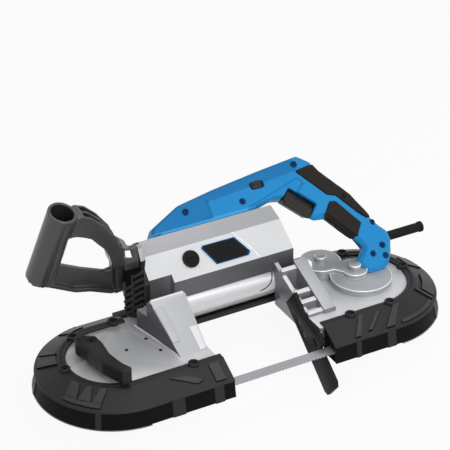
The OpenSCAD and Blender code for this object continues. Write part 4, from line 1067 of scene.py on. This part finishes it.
# Stage: pale floor, soft light and the photo's camera

# Tone of the floor, and the world's light on the saw; the world itself is seen white
FLOOR_TONE, WORLD_LIGHT = 0.92, 0.24
# The photo's width and focal length in pixels, its camera's turn and tilt, and its place right, up and ahead
PHOTO_WIDE, FOCAL = 450, 1903
CAMERA_TURN, CAMERA_TILT = math.radians(28.76), math.radians(31.02)
CAMERA_PLACE = (-18.1, 102.4, -2113)
SENSOR = 36
LAMP_TARGET = Vector((0, 0, 0.1))


def stage():
    """The floor that the saw stands on, and the world round it."""
    floor_mesh = bmesh.new()
    bmesh.ops.create_grid(floor_mesh, x_segments=1, y_segments=1, size=6.0)
    data = bpy.data.meshes.new("floor")
    floor_mesh.to_mesh(data)
    floor_mesh.free()
    floor = bpy.data.objects.new("floor", data)
    bpy.context.scene.collection.objects.link(floor)
    f = Finish("pale_floor", roughness=0.9, base_color=(FLOOR_TONE, FLOOR_TONE, FLOOR_TONE, 1))
    rays = f.node("ShaderNodeLightPath", out="Is Camera Ray")
    glossy = f.node("ShaderNodeLightPath", out="Is Glossy Ray")
    through = f.node("ShaderNodeLightPath", out="Is Transmission Ray")
    glow = f.node("ShaderNodeEmission", {}, {"Color": (1, 1, 1, 1), "Strength": 1.0})
    mix = f.node("ShaderNodeMixShader", {}, {0: (rays + glossy + through) * FLOOR_TONE})
    f.tree.links.new(f.shader.outputs[0], mix.socket.node.inputs[1])
    f.tree.links.new(glow.socket, mix.socket.node.inputs[2])
    f.tree.links.new(mix.socket, f.tree.nodes["Material Output"].inputs[0])
    data.materials.append(f.material)

    world = bpy.data.worlds.new("studio")
    bpy.context.scene.world = world
    world.use_nodes = True
    tree = world.node_tree
    back = tree.nodes["Background"]
    back.inputs[0].default_value = (1, 1, 1, 1)
    path = tree.nodes.new("ShaderNodeLightPath")
    seen = tree.nodes.new("ShaderNodeMath")
    seen.operation = "MAXIMUM"
    tree.links.new(path.outputs["Is Camera Ray"], seen.inputs[0])
    tree.links.new(path.outputs["Is Glossy Ray"], seen.inputs[1])
    through = tree.nodes.new("ShaderNodeMath")
    through.operation = "MAXIMUM"
    tree.links.new(seen.outputs[0], through.inputs[0])
    tree.links.new(path.outputs["Is Transmission Ray"], through.inputs[1])
    level = tree.nodes.new("ShaderNodeMapRange")
    level.inputs["To Min"].default_value = WORLD_LIGHT
    level.inputs["To Max"].default_value = 1.0
    tree.links.new(through.outputs[0], level.inputs["Value"])
    tree.links.new(level.outputs[0], back.inputs[1])


def lamp(name, place, size, power):
    """A round soft lamp that faces the saw."""
    data = bpy.data.lights.new(name, "AREA")
    data.shape = "DISK"
    data.size = size
    data.energy = power
    made = bpy.data.objects.new(name, data)
    made.location = place
    made.rotation_euler = (LAMP_TARGET - Vector(place)).to_track_quat("-Z", "Y").to_euler()
    bpy.context.scene.collection.objects.link(made)


def camera():
    """The photo's view, found from the straight edges and the wheel circles."""
    turn, tilt = CAMERA_TURN, CAMERA_TILT
    ahead = Vector((math.sin(turn) * math.cos(tilt), math.cos(turn) * math.cos(tilt), -math.sin(tilt)))
    right = Vector((math.cos(turn), -math.sin(turn), 0))
    up = right.cross(ahead)
    data = bpy.data.cameras.new("photo_view")
    data.sensor_width = SENSOR
    data.lens = SENSOR * FOCAL / PHOTO_WIDE
    made = bpy.data.objects.new("photo_view", data)
    along_right, along_up, along_ahead = CAMERA_PLACE
    spot = (right * along_right + up * along_up + ahead * along_ahead + SHIFT) * MM
    made.matrix_world = Matrix((
        (right.x, up.x, -ahead.x, spot.x), (right.y, up.y, -ahead.y, spot.y),
        (right.z, up.z, -ahead.z, spot.z), (0, 0, 0, 1)))
    data.clip_end = 50
    bpy.context.scene.collection.objects.link(made)
    bpy.context.scene.camera = made


stage()
lamp("key", (-0.1, -1.75, 1.15), 1.6, 18.5)
lamp("top", (0.3, -0.1, 2.2), 1.8, 12)
lamp("side", (1.6, -0.8, 0.9), 1.2, 3)
camera()
bpy.context.scene.view_settings.view_transform = "Standard"
